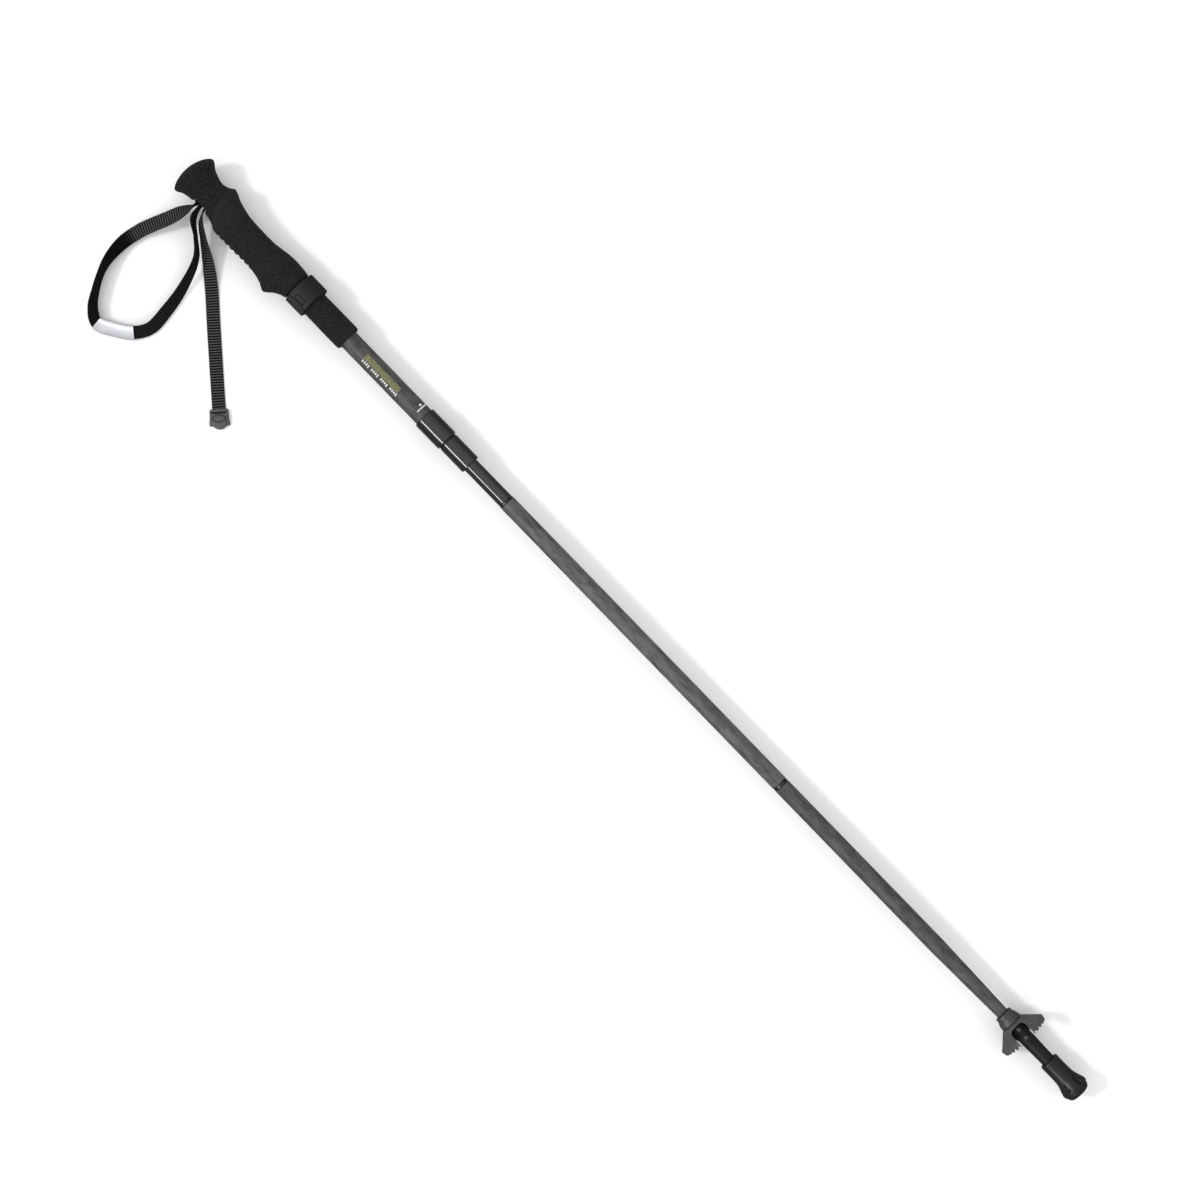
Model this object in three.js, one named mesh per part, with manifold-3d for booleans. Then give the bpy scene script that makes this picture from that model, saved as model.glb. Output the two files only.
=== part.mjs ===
// A folding, telescoping carbon trekking pole, lying straight at its set length.
// Millimetres. Origin at the centre of the rubber tip's sole, +X along the pole to the grip,
// +Z up from the surface that the pole lies on, +Y the side of the wrist strap.
import * as THREE from 'three';
import * as BufferGeometryUtils from 'three/addons/utils/BufferGeometryUtils.js';
import Module from 'manifold-3d';

const wasm = await Module();
wasm.setup();

// Driving dimensions.
const GAP = 0.3;
const SIDES = 32;
const FLOOR_Z = -24.4;

const UPPER_TUBE_R = 9.0;
const UPPER_TUBE_BORE_R = 8.0;
const TUBE_R = 7.5;
const TUBE_BORE_R = 6.5;
const ROD_R = 7.1;
const ROD_BORE_R = 6.1;
const CORD_R = 1.25;

const LOWER_JOINT_X = 379;
const UPPER_JOINT_X = 728;
const ROD_TOP_X = 1040;
const COLLAR_X = 805;
const UPPER_TUBE_X = 811.3;
const UPPER_TUBE_TOP_X = 1094;
const EXTENSION_X = 930;
const GRIP_X = 996;
const SPIGOT_LENGTH = 16;
const SPIGOT_BORE_R = 2.6;
const PLUG_LENGTH = 20;
const LOWER_FLANGE = 3.2;

const BASKET_RIM_X = 69.5;
const BASKET_SHOULDER_X = 73.6;
const BASKET_SHOULDER_R = 24.4;
const BASKET_HUB_X = 87;
const BASKET_TEETH = 28;
const TOOTH_DEPTH = 1.6;
const NEST_HALF_WIDTH = 8.2;
const NEST_FLOOR_Z = 7.3;
const NEST_END_X = 84.4;

const KEEPER_X = 974;
const KEEPER_WIDTH = 20;
const KEEPER_R = 16.4;
const KEEPER_WALL_BORE_R = 14.3;
const KEEPER_RIB_BORE_R = 12.8;
const KEEPER_RIB_X = [981, 987];
const KEEPER_BAND_END_ANGLE = 402;
const KEEPER_HINGE_ANGLE = 130;
const KEEPER_HINGE_R = 14.6;

const SLOT_X = [1099.5, 1114.5];
const LOOP_WIDTH = 13.4;
const LOOP_THICKNESS = 2.4;
const TAIL_WIDTH = 12.2;
const TAIL_THICKNESS = 1.5;
const SLOT_HALF_HEIGHT = LOOP_WIDTH / 2 + 0.6;

const materials = {
  foam: new THREE.MeshStandardMaterial({ color: 0x232120, roughness: 0.95, metalness: 0 }),
  carbon: new THREE.MeshStandardMaterial({ color: 0x4a4745, roughness: 0.45, metalness: 0.1 }),
  gloss: new THREE.MeshStandardMaterial({ color: 0x101010, roughness: 0.12, metalness: 0 }),
  plastic: new THREE.MeshStandardMaterial({ color: 0x2d2b2c, roughness: 0.5, metalness: 0 }),
  rubber: new THREE.MeshStandardMaterial({ color: 0x242325, roughness: 0.7, metalness: 0 }),
  webbing: new THREE.MeshStandardMaterial({ color: 0x171515, roughness: 0.9, metalness: 0 }),
  sleeve: new THREE.MeshStandardMaterial({ color: 0xc9c9cf, roughness: 0.4, metalness: 0.2 }),
  endStop: new THREE.MeshStandardMaterial({ color: 0x4a494b, roughness: 0.6, metalness: 0 }),
  alloy: new THREE.MeshStandardMaterial({ color: 0x9a9a9c, roughness: 0.35, metalness: 1 }),
  steel: new THREE.MeshStandardMaterial({ color: 0xb4b4b6, roughness: 0.3, metalness: 1 }),
  carbide: new THREE.MeshStandardMaterial({ color: 0x6d6d72, roughness: 0.4, metalness: 1 }),
  cord: new THREE.MeshStandardMaterial({ color: 0x1c1c1e, roughness: 0.8, metalness: 0 }),
};

const pole = new THREE.Group();

function add(name, geometry, material) {
  const mesh = new THREE.Mesh(geometry, material);
  mesh.name = name;
  pole.add(mesh);
}

// Closed meshes and solids.

function signedVolume(position, index) {
  const a = new THREE.Vector3();
  const b = new THREE.Vector3();
  const c = new THREE.Vector3();
  let volume = 0;
  for (let i = 0; i < index.length; i += 3) {
    a.fromBufferAttribute(position, index[i]);
    b.fromBufferAttribute(position, index[i + 1]);
    c.fromBufferAttribute(position, index[i + 2]);
    volume += a.dot(b.cross(c)) / 6;
  }
  return volume;
}

// Merges shared vertices, drops empty triangles and turns the faces outwards.
function closed(source) {
  const bare = source.clone();
  bare.deleteAttribute('normal');
  bare.deleteAttribute('uv');
  const merged = BufferGeometryUtils.mergeVertices(bare, 1e-4);
  const from = merged.index.array;
  const kept = [];
  for (let i = 0; i < from.length; i += 3) {
    const [a, b, c] = [from[i], from[i + 1], from[i + 2]];
    if (a !== b && b !== c && c !== a) kept.push(a, b, c);
  }
  const position = merged.attributes.position;
  if (signedVolume(position, kept) < 0) kept.reverse();
  merged.setIndex(kept);
  return merged;
}

function solid(geometry) {
  const merged = closed(geometry);
  const mesh = new wasm.Mesh({
    numProp: 3,
    vertProperties: new Float32Array(merged.attributes.position.array),
    triVerts: new Uint32Array(merged.index.array),
  });
  return new wasm.Manifold(mesh);
}

function geometryOf(manifold) {
  const mesh = manifold.getMesh();
  const geometry = new THREE.BufferGeometry();
  geometry.setAttribute('position', new THREE.BufferAttribute(mesh.vertProperties, 3));
  geometry.setIndex(Array.from(mesh.triVerts));
  return geometry;
}

function cut(geometry, cutters) {
  let result = solid(geometry);
  for (const cutter of cutters) result = result.subtract(solid(cutter));
  return geometryOf(result);
}

function join(geometries) {
  let result = solid(geometries[0]);
  for (const geometry of geometries.slice(1)) result = result.add(solid(geometry));
  return geometryOf(result);
}

// Primitives along the pole. A profile is a list of [x, radius].

function turned(profile, sides = SIDES) {
  const points = profile.map(([x, r]) => new THREE.Vector2(r, x));
  return closed(new THREE.LatheGeometry(points, sides).rotateZ(-Math.PI / 2));
}

function shell(outside, inside, sides = SIDES) {
  return turned([...outside, ...inside.toReversed(), outside[0]], sides);
}

function ring(x0, x1, outer, bore, sides = SIDES) {
  return shell([[x0, outer], [x1, outer]], [[x0, bore], [x1, bore]], sides);
}

function rod(x0, x1, radius, sides = SIDES) {
  return turned([[x0, 0], [x0, radius], [x1, radius], [x1, 0]], sides);
}

function block(x, y, z) {
  const box = new THREE.BoxGeometry(x[1] - x[0], y[1] - y[0], z[1] - z[0]);
  return box.translate((x[0] + x[1]) / 2, (y[0] + y[1]) / 2, (z[0] + z[1]) / 2);
}

function ball(x, y, z, radius, stretch = [1, 1, 1]) {
  return new THREE.SphereGeometry(radius, 12, 8).scale(...stretch).translate(x, y, z);
}

function turnedAboutPole(geometry, degrees) {
  return geometry.rotateX(THREE.MathUtils.degToRad(degrees));
}

// Rings of points joined one after another and capped at both ends.
function loft(rings) {
  const count = rings[0].length;
  const points = rings.flat();
  const index = [];
  for (let i = 0; i < rings.length - 1; i += 1) {
    for (let k = 0; k < count; k += 1) {
      const [a, b] = [i * count + k, i * count + ((k + 1) % count)];
      index.push(a, b, a + count, b, b + count, a + count);
    }
  }
  for (const [start, flip] of [[0, true], [(rings.length - 1) * count, false]]) {
    const middle = new THREE.Vector3();
    for (let k = 0; k < count; k += 1) middle.addScaledVector(points[start + k], 1 / count);
    const centre = points.push(middle) - 1;
    for (let k = 0; k < count; k += 1) {
      const [a, b] = [start + k, start + ((k + 1) % count)];
      if (flip) index.push(b, a, centre);
      else index.push(a, b, centre);
    }
  }
  const geometry = new THREE.BufferGeometry().setFromPoints(points);
  geometry.setIndex(index);
  return closed(geometry);
}

// Grip. Stations of [x, half width on the strap side, half width on the other side, half height].

const GRIP_STATIONS = [
  [996, 14.6, 13.6, 13.2],
  [1001, 16.2, 14.4, 14.0],
  [1008, 20.4, 14.9, 14.6],
  [1014, 24.6, 15.0, 14.8],
  [1020, 22.3, 14.5, 14.8],
  [1028, 19.7, 13.3, 14.6],
  [1038, 18.6, 12.0, 14.4],
  [1055, 18.8, 12.0, 14.4],
  [1070, 18.8, 12.8, 14.4],
  [1080, 18.6, 14.8, 14.4],
  [1088, 16.0, 17.4, 14.2],
  [1094, 14.4, 19.1, 14.0],
  [1100, 13.6, 17.2, 13.8],
  [1106, 13.5, 15.7, 13.8],
  [1110, 13.5, 16.1, 14.2],
  [1114, 13.5, 17.3, 14.8],
  [1120, 14.1, 19.9, 16.4],
  [1124, 14.9, 22.8, 17.8],
  [1127, 16.3, 24.4, 18.8],
  [1130, 18.1, 23.3, 19.0],
  [1132, 18.4, 20.9, 18.2],
  [1134, 16.4, 17.7, 15.8],
  [1136, 11.8, 12.8, 11.6],
  [1138, 3, 3, 3],
];
const GRIP_SECTION_POINTS = 28;

function gripSection([x, strapSide, farSide, height]) {
  const points = [];
  for (let k = 0; k < GRIP_SECTION_POINTS; k += 1) {
    const angle = (2 * Math.PI * k) / GRIP_SECTION_POINTS;
    const width = Math.cos(angle) > 0 ? strapSide : farSide;
    points.push(new THREE.Vector3(x, width * Math.cos(angle), height * Math.sin(angle)));
  }
  return points;
}

function oval(x0, x1, halfY, halfZ) {
  const geometry = rod(x0, x1, 1);
  return geometry.scale(1, halfY, halfZ);
}

const CORE_TOP_X = 1127;
const CORE_HALF = [9.4, 11];
const PIN_X = 1107;
const PIN_R = 1.6;

function pinAcross(radius, halfLength) {
  const pin = new THREE.CylinderGeometry(radius, radius, 2 * halfLength, 16);
  return pin.rotateX(Math.PI / 2).translate(PIN_X, -1, 0);
}

function gripFoam() {
  const body = loft(GRIP_STATIONS.map(gripSection));
  const bore = rod(GRIP_X - 5, UPPER_TUBE_TOP_X + GAP, UPPER_TUBE_R + 0.2);
  const pocket = oval(UPPER_TUBE_TOP_X + GAP, CORE_TOP_X + GAP, CORE_HALF[0] + GAP, CORE_HALF[1] + GAP);
  const slotHalf = SLOT_HALF_HEIGHT + 0.6;
  const slot = block([SLOT_X[0] - 1, SLOT_X[1] + 1], [0, 26], [-slotHalf, slotHalf]);
  return cut(body, [bore, pocket, slot]);
}

function gripCore() {
  const body = oval(UPPER_TUBE_TOP_X + 2 * GAP, CORE_TOP_X, ...CORE_HALF);
  const channel = block(SLOT_X, [-5, 26], [-SLOT_HALF_HEIGHT, SLOT_HALF_HEIGHT]);
  return cut(body, [channel, pinAcross(PIN_R + 0.1, 9.8)]);
}

// The wedge presses the webbing against the pin from the head's side.
function strapWedge() {
  const outline = new THREE.Shape();
  outline.moveTo(SLOT_X[1] - 0.4, -4);
  outline.lineTo(SLOT_X[1] - 0.4, 12.5);
  outline.lineTo(SLOT_X[1] - 3.1, 12.5);
  outline.lineTo(SLOT_X[1] - 1.4, -4);
  const depth = 2 * (SLOT_HALF_HEIGHT - GAP);
  const wedge = new THREE.ExtrudeGeometry(outline, { depth, bevelEnabled: false });
  return closed(wedge.translate(0, 0, -depth / 2));
}

// Webbing. A route is a list of [x, y, lift above the surface, tilt in degrees]: tilt 0 lies flat,
// 90 stands on edge with the side to the left of the route uppermost.

const LOOP_ROUTE = [
  [1109.4, 3, 24.4, 90],
  [1110.1, 14, 24.2, 89],
  [1112.4, 22, 22.6, 54],
  [1115.8, 30.5, 19.8, 24],
  [1120.2, 41, 14.4, 12],
  [1125.2, 51.5, 9.6, 10],
  [1131, 66, 4.8, 10],
  [1134.2, 84, 4, 20],
  [1132.4, 103, 6.2, 42],
  [1127.6, 117, 7.8, 56],
  [1120, 131, 7.8, 54],
  [1111, 143.5, 7, 44],
  [1099, 150.5, 6.8, 36],
  [1083.5, 143.5, 6.8, 36],
  [1069, 132.5, 6.8, 36],
  [1062, 119.5, 6.2, 40],
  [1063, 99, 6.6, 44],
  [1067.5, 74, 8.4, 58],
  [1077.5, 47, 14, 76],
  [1090.5, 34, 19.5, 84],
  [1103, 24, 23.2, 76],
  [1105.8, 15, 24.3, 88],
  [1105.8, 3, 24.4, 90],
];
const TAIL_ROUTE = [
  [1101.6, 3, 24.4, 90],
  [1101.2, 13, 24.3, 86],
  [1095.6, 22, 22, 66],
  [1084, 31, 15.6, 56],
  [1069, 41.5, 7.4, 30],
  [1051, 55.5, 1.9, 4],
  [1028, 75.5, 1.1, 0],
  [999, 100.4, 1.1, 0],
  [963, 131, 1.1, 0],
];
const LOOP_STEPS = 84;
const TAIL_STEPS = 36;
const SLEEVE_SPAN = [0.48, 0.578];

function ribbonFrames(route, steps, span = [0, 1]) {
  const centres = route.map(([x, y, lift]) => new THREE.Vector3(x, y, FLOOR_Z + lift));
  const curve = new THREE.CatmullRomCurve3(centres, false, 'centripetal');
  const tilts = route.map(([, , , tilt], i) => new THREE.Vector3(i, tilt, 0));
  const tiltCurve = new THREE.CatmullRomCurve3(tilts, false, 'catmullrom', 0.5);
  const frames = [];
  for (let i = 0; i <= steps; i += 1) {
    const u = span[0] + ((span[1] - span[0]) * i) / steps;
    const t = curve.getUtoTmapping(u);
    const along = curve.getTangent(t);
    const level = new THREE.Vector3(-along.y, along.x, 0).normalize();
    const upright = new THREE.Vector3().crossVectors(along, level);
    const tilt = THREE.MathUtils.degToRad(tiltCurve.getPoint(t).y);
    const across = level.clone().multiplyScalar(Math.cos(tilt));
    across.addScaledVector(upright, Math.sin(tilt));
    const out = new THREE.Vector3().crossVectors(along, across);
    frames.push({ centre: curve.getPoint(t), across, out });
  }
  return frames;
}

function ribbon(frames, width, thickness) {
  const corners = [[-0.5, -0.5], [0.5, -0.5], [0.5, 0.5], [-0.5, 0.5]];
  return loft(frames.map(({ centre, across, out }) => corners.map(([w, h]) => {
    const point = centre.clone().addScaledVector(across, w * width);
    return point.addScaledVector(out, h * thickness);
  })));
}

function strapSleeve() {
  const [start, end] = SLEEVE_SPAN;
  const outer = ribbon(ribbonFrames(LOOP_ROUTE, 8, SLEEVE_SPAN), LOOP_WIDTH + 1.7, LOOP_THICKNESS + 2);
  const longer = [start - 0.02, end + 0.02];
  const bore = ribbon(ribbonFrames(LOOP_ROUTE, 11, longer), LOOP_WIDTH + 0.7, LOOP_THICKNESS + 0.7);
  return cut(outer, [bore]);
}

// The moulded stop is clamped on the end of the tail.
function strapEndStop() {
  const outline = new THREE.Shape();
  outline.moveTo(0, -8.2);
  outline.lineTo(9, -8.6);
  outline.lineTo(14.5, -8.6);
  outline.lineTo(15.2, -5.6);
  outline.absarc(11, 0, 7, -0.93, 0.93, false);
  outline.lineTo(14.5, 8.6);
  outline.lineTo(9, 8.6);
  outline.lineTo(0, 8.2);
  const plate = new THREE.ExtrudeGeometry(outline, { depth: 4.6, bevelEnabled: false });
  const mouthHalf = TAIL_WIDTH / 2 + GAP;
  const mouth = block([-1, 9], [-mouthHalf, mouthHalf], [0.2, 2.2]);
  const clamp = cut(plate, [mouth]);
  const [from, to] = [TAIL_ROUTE.at(-2), TAIL_ROUTE.at(-1)];
  const heading = Math.atan2(to[1] - from[1], to[0] - from[0]);
  clamp.rotateZ(heading);
  return clamp.translate(to[0] - 7 * Math.cos(heading), to[1] - 7 * Math.sin(heading), FLOOR_Z);
}

// Keeper: a thick band round the foam sleeve with a hinged buckle on the strap side.

function sector(x0, x1, outer, bore, fromDegrees, toDegrees) {
  const outline = new THREE.Shape();
  const [from, to] = [fromDegrees, toDegrees].map(THREE.MathUtils.degToRad);
  outline.absarc(0, 0, outer, from, to, false);
  outline.absarc(0, 0, bore, to, from, true);
  const steps = Math.ceil(Math.abs(toDegrees - fromDegrees) / 9);
  const depth = x1 - x0;
  const piece = new THREE.ExtrudeGeometry(outline, { depth, bevelEnabled: false, curveSegments: steps });
  // The outline's angle runs from +Z towards +Y once it stands across the pole.
  piece.applyMatrix4(new THREE.Matrix4().makeBasis(
    new THREE.Vector3(0, 0, 1),
    new THREE.Vector3(0, 1, 0),
    new THREE.Vector3(1, 0, 0),
  ));
  return closed(piece.translate(x0, 0, 0));
}

function keeperHinge(x0, x1, radius) {
  const angle = THREE.MathUtils.degToRad(KEEPER_HINGE_ANGLE);
  const barrel = rod(x0, x1, radius, 16);
  return barrel.translate(0, KEEPER_HINGE_R * Math.sin(angle), KEEPER_HINGE_R * Math.cos(angle));
}

const KEEPER_END = KEEPER_X + KEEPER_WIDTH;
const KNUCKLE = 5;
const BARREL_R = 2.3;
const KEEPER_PIN_R = 0.9;

function keeperBand() {
  const [from, to] = [KEEPER_HINGE_ANGLE, KEEPER_BAND_END_ANGLE];
  const arc = sector(KEEPER_X, KEEPER_END, KEEPER_R, KEEPER_WALL_BORE_R, from, to);
  const rib = sector(...KEEPER_RIB_X, KEEPER_R - 0.5, KEEPER_RIB_BORE_R, from + 12, to);
  const knuckles = [
    keeperHinge(KEEPER_X, KEEPER_X + KNUCKLE, BARREL_R),
    keeperHinge(KEEPER_END - KNUCKLE, KEEPER_END, BARREL_R),
  ];
  const room = keeperHinge(KEEPER_X + KNUCKLE, KEEPER_END - KNUCKLE, BARREL_R + GAP);
  const pinHole = keeperHinge(KEEPER_X - 1, KEEPER_END + 1, KEEPER_PIN_R + 0.1);
  return cut(join([arc, rib, ...knuckles]), [room, pinHole]);
}

function keeperLatch() {
  const start = KEEPER_BAND_END_ANGLE - 360 + 2;
  const outer = KEEPER_R - 0.4;
  const plate = sector(KEEPER_X, KEEPER_END, outer, KEEPER_WALL_BORE_R, start, KEEPER_HINGE_ANGLE);
  const barrel = keeperHinge(KEEPER_X + KNUCKLE + GAP, KEEPER_END - KNUCKLE - GAP, BARREL_R);
  const rooms = [
    keeperHinge(KEEPER_X - 1, KEEPER_X + KNUCKLE + GAP, BARREL_R + GAP + 0.3),
    keeperHinge(KEEPER_END - KNUCKLE - GAP, KEEPER_END + 1, BARREL_R + GAP + 0.3),
    keeperHinge(KEEPER_X - 1, KEEPER_END + 1, KEEPER_PIN_R + 0.25),
  ];
  return cut(join([plate, barrel]), rooms);
}

// Twist lock, from the grip's side down.

const NOSE_X = 791;

function upperCollar() {
  const outside = [
    [NOSE_X, 8.4], [COLLAR_X, 8.4], [COLLAR_X, 10.0], [COLLAR_X + 0.8, 10.6], [833, 10.6], [834, 9.8],
  ];
  const inside = [[NOSE_X, 7.45], [811, 7.45], [811, UPPER_TUBE_R + 0.1], [834, UPPER_TUBE_R + 0.1]];
  return shell(outside, inside);
}

function lockNut() {
  const outside = [[775, 8.6], [776.2, 9.55], [802.7, 9.55], [803.4, 9.0]];
  const inside = [[775, 7.4], [778.4, 7.4], [780, 8.0], [789.6, 8.75], [803.4, 8.75]];
  return shell(outside, inside);
}

function lockCollet() {
  const cone = shell([[779.4, 7.7], [789.4, 8.4]], [[779.4, 7.3], [789.4, 7.3]]);
  return cut(cone, [block([778, 791], [-0.5, 0.5], [0, 12])]);
}

// Fold joints: a tapered spigot on the grip's side of each joint, clear of the socket as it tips.

function spigotProfile(jointX) {
  const taper = [[0, 6.2], [2, 5.9], [4, 5.6], [8, 5.15], [12, 4.7], [15, 4.1], [SPIGOT_LENGTH, 3.6]];
  return taper.map(([p, r]) => [jointX - p, r]).toReversed();
}

function upperFerrule() {
  const x = UPPER_JOINT_X + GAP;
  const bead = [[x, 7.1], [x + 0.6, 7.4], [x + 1.4, 7.4], [x + 2, 7.1]];
  const plug = [[x + 2, ROD_BORE_R - 0.05], [x + PLUG_LENGTH, ROD_BORE_R - 0.05]];
  const inside = [[x - SPIGOT_LENGTH, SPIGOT_BORE_R], [x + PLUG_LENGTH, SPIGOT_BORE_R]];
  return shell([...spigotProfile(x), ...bead, ...plug], inside);
}

function lowerFerrule() {
  const x = LOWER_JOINT_X + GAP;
  const flange = [[x, 7.35], [x + LOWER_FLANGE, 7.35]];
  const plug = [[x + LOWER_FLANGE, TUBE_BORE_R - 0.1], [x + PLUG_LENGTH, TUBE_BORE_R - 0.1]];
  const inside = [[x - SPIGOT_LENGTH, SPIGOT_BORE_R], [x + PLUG_LENGTH, SPIGOT_BORE_R]];
  return shell([...spigotProfile(x), ...flange, ...plug], inside);
}

const BUTTON_X = 752;
const BUTTON_R = 2.4;

function buttonShape(radius, z0, z1) {
  const stem = new THREE.CylinderGeometry(radius, radius, z1 - z0, 16);
  return stem.rotateX(Math.PI / 2).translate(BUTTON_X, 0, (z0 + z1) / 2);
}

function telescopingRod() {
  const tube = ring(UPPER_JOINT_X + 2.6, ROD_TOP_X, ROD_R, ROD_BORE_R);
  return cut(tube, [buttonShape(BUTTON_R + 0.25, -12, -3)]);
}

function snapButton() {
  const crown = ball(BUTTON_X, 0, -8.4, BUTTON_R, [1, 1, 0.4]);
  return join([buttonShape(BUTTON_R, -8.4, -4), crown, buttonShape(3, -5.1, -4)]);
}

// A leaf spring that lies along the rod's wall and bows up to the button's foot.
function buttonSpring() {
  const outline = new THREE.Shape();
  outline.moveTo(BUTTON_X - 2, -3.4);
  outline.lineTo(BUTTON_X + 6, -3.4);
  outline.lineTo(BUTTON_X + 26, -5.0);
  outline.lineTo(BUTTON_X + 34, -5.0);
  outline.lineTo(BUTTON_X + 34, -5.4);
  outline.lineTo(BUTTON_X + 26, -5.4);
  outline.lineTo(BUTTON_X + 6, -3.8);
  outline.lineTo(BUTTON_X - 2, -3.8);
  const strip = new THREE.ExtrudeGeometry(outline, { depth: 4, bevelEnabled: false });
  return closed(strip.rotateX(Math.PI / 2).translate(0, 2, 0));
}

// The cord's tension spring, a helix of round wire held between the slider and the anchor.
const SPRING_X = [1000, 1018];

function cordSpring() {
  class Helix extends THREE.Curve {
    getPoint(t) {
      const angle = 2 * Math.PI * 7 * t;
      const x = SPRING_X[0] + 1 + (SPRING_X[1] - SPRING_X[0] - 2) * t;
      return new THREE.Vector3(x, 4 * Math.cos(angle), 4 * Math.sin(angle));
    }
  }
  const wire = new THREE.Shape();
  wire.absarc(0, 0, 0.5, 0, 2 * Math.PI, false);
  const options = { steps: 84, extrudePath: new Helix(), curveSegments: 3, bevelEnabled: false };
  return closed(new THREE.ExtrudeGeometry(wire, options));
}

// Tubes.

function lowerTube() {
  const outside = [[99, 5.6], [130, 6.4], [160, 7.0], [186, TUBE_R], [LOWER_JOINT_X, TUBE_R]];
  const inside = [[99, 4.6], [130, 5.4], [160, 6.0], [186, TUBE_BORE_R], [LOWER_JOINT_X, TUBE_BORE_R]];
  return shell(outside, inside);
}

// Foot.

function basketNut() {
  const outside = [[87.3, 10.35], [91, 10.2], [94.5, 9.0], [98.4, 8.3]];
  return shell(outside, [[87.3, 7.05], [93.8, 7.05], [93.8, 5.75], [98.4, 5.75]]);
}

function basket() {
  const outside = [[BASKET_RIM_X, 23.8], [BASKET_SHOULDER_X, BASKET_SHOULDER_R], [BASKET_HUB_X, 11]];
  const inside = [[BASKET_RIM_X, 22.2], [72.8, 22.4], [83.4, 11.8], [83.4, 7.1], [BASKET_HUB_X, 7.1]];
  const skirt = shell(outside, inside, 2 * BASKET_TEETH);
  const position = skirt.attributes.position;
  for (let i = 0; i < position.count; i += 1) {
    const angle = Math.atan2(position.getZ(i), position.getY(i));
    const valley = Math.cos(BASKET_TEETH * angle) > 0;
    const onRim = position.getX(i) < BASKET_RIM_X + 0.1;
    if (valley && onRim) position.setX(i, position.getX(i) + TOOTH_DEPTH);
  }
  const outline = new THREE.Shape();
  outline.moveTo(60, -NEST_HALF_WIDTH);
  outline.lineTo(NEST_END_X - 4, -NEST_HALF_WIDTH);
  outline.quadraticCurveTo(NEST_END_X, -NEST_HALF_WIDTH, NEST_END_X, -3.5);
  outline.lineTo(NEST_END_X, 3.5);
  outline.quadraticCurveTo(NEST_END_X, NEST_HALF_WIDTH, NEST_END_X - 4, NEST_HALF_WIDTH);
  outline.lineTo(60, NEST_HALF_WIDTH);
  const nest = new THREE.ExtrudeGeometry(outline, { depth: 30, bevelEnabled: false, curveSegments: 5 });
  return cut(skirt, [nest.translate(0, 0, NEST_FLOOR_Z)]);
}

function tipShaft() {
  const outside = [
    [22, 5.2], [26, 6.0], [66, 6.85], [72, 6.85], [72, 7.9], [83, 7.9], [83, 6.85],
    [93.4, 6.85], [93.4, 4.9], [99, 4.5], [116, 4.5],
  ];
  const bore = [[22, 0], [22, 3.1], [30, 3.1], [30, 0]];
  const body = turned([[22, 0], ...outside, [116, 0]]);
  const key = block([68, 82.5], [-2.3, 2.3], [6, 9.2]);
  return cut(join([body, key]), [turned(bore).translate(-0.01, 0, 0)]);
}

function carbideTip() {
  return turned([[12.6, 0], [11.6, 1.9], [14, 2.6], [21, 2.95], [29.6, 2.95], [29.6, 0]]);
}

const LUGS = 6;

function rubberTip() {
  const outside = [
    [0, 0], [0, 8.5], [1.2, 10.2], [3.4, 11.4], [6, 12.6], [9, 12.75], [11.5, 11.9],
    [14, 10.9], [17, 9.9], [20, 9.25], [24, 9.0], [37, 9.0], [38, 9.15], [40, 9.1], [40.5, 8.6],
  ];
  const bore = [[40.5, 6.6], [26, 6.3], [21, 6.0], [11.4, 6.0], [11.4, 5.0], [8.4, 5.0], [8.4, 0]];
  const body = turned([...outside, ...bore]);
  const recesses = [];
  for (let k = 0; k < LUGS; k += 1) {
    const recess = ball(11.4, 0, 12.9, 2.4, [1.9, 0.9, 0.8]);
    recesses.push(turnedAboutPole(recess, (360 * (k + 0.5)) / LUGS));
  }
  return cut(body, recesses);
}

add('grip_foam', gripFoam(), materials.foam);
add('grip_core', gripCore(), materials.plastic);
add('strap_pin', pinAcross(PIN_R, 9.6), materials.steel);
add('strap_wedge', strapWedge(), materials.plastic);
add('foam_extension', shell(
  [
    [EXTENSION_X, 11.6], [EXTENSION_X + 1.6, 12.5], [EXTENSION_X + 6, 12.4],
    [EXTENSION_X + 56, 12.2], [GRIP_X - GAP, 12.2],
  ],
  [[EXTENSION_X, UPPER_TUBE_R + 0.2], [GRIP_X - GAP, UPPER_TUBE_R + 0.2]],
), materials.foam);
add('wrist_strap_loop', ribbon(
  ribbonFrames(LOOP_ROUTE, LOOP_STEPS), LOOP_WIDTH, LOOP_THICKNESS,
), materials.webbing);
add('strap_sleeve', strapSleeve(), materials.sleeve);
add('strap_tail', ribbon(
  ribbonFrames(TAIL_ROUTE, TAIL_STEPS), TAIL_WIDTH, TAIL_THICKNESS,
), materials.webbing);
add('strap_end_stop', strapEndStop(), materials.endStop);
add('keeper_band', keeperBand(), materials.rubber);
add('keeper_latch', keeperLatch(), materials.plastic);
add('keeper_pin', keeperHinge(KEEPER_X + 0.5, KEEPER_END - 0.5, KEEPER_PIN_R), materials.steel);
add('upper_tube', ring(UPPER_TUBE_X, UPPER_TUBE_TOP_X, UPPER_TUBE_R, UPPER_TUBE_BORE_R), materials.carbon);
add('upper_collar', upperCollar(), materials.gloss);
add('lock_seal', ring(COLLAR_X - 1.2, COLLAR_X - GAP, 9.1, 8.5), materials.rubber);
add('lock_nut', lockNut(), materials.gloss);
add('lock_collet', lockCollet(), materials.plastic);
add('telescoping_rod', telescopingRod(), materials.gloss);
add('rod_bush', shell(
  [[ROD_TOP_X - 12, 7.8], [ROD_TOP_X + 1.6, 7.8]],
  [[ROD_TOP_X - 12, 7.2], [ROD_TOP_X + 0.3, 7.2], [ROD_TOP_X + 0.3, 5.4], [ROD_TOP_X + 1.6, 5.4]],
), materials.plastic);
add('upper_ferrule', upperFerrule(), materials.alloy);
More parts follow.
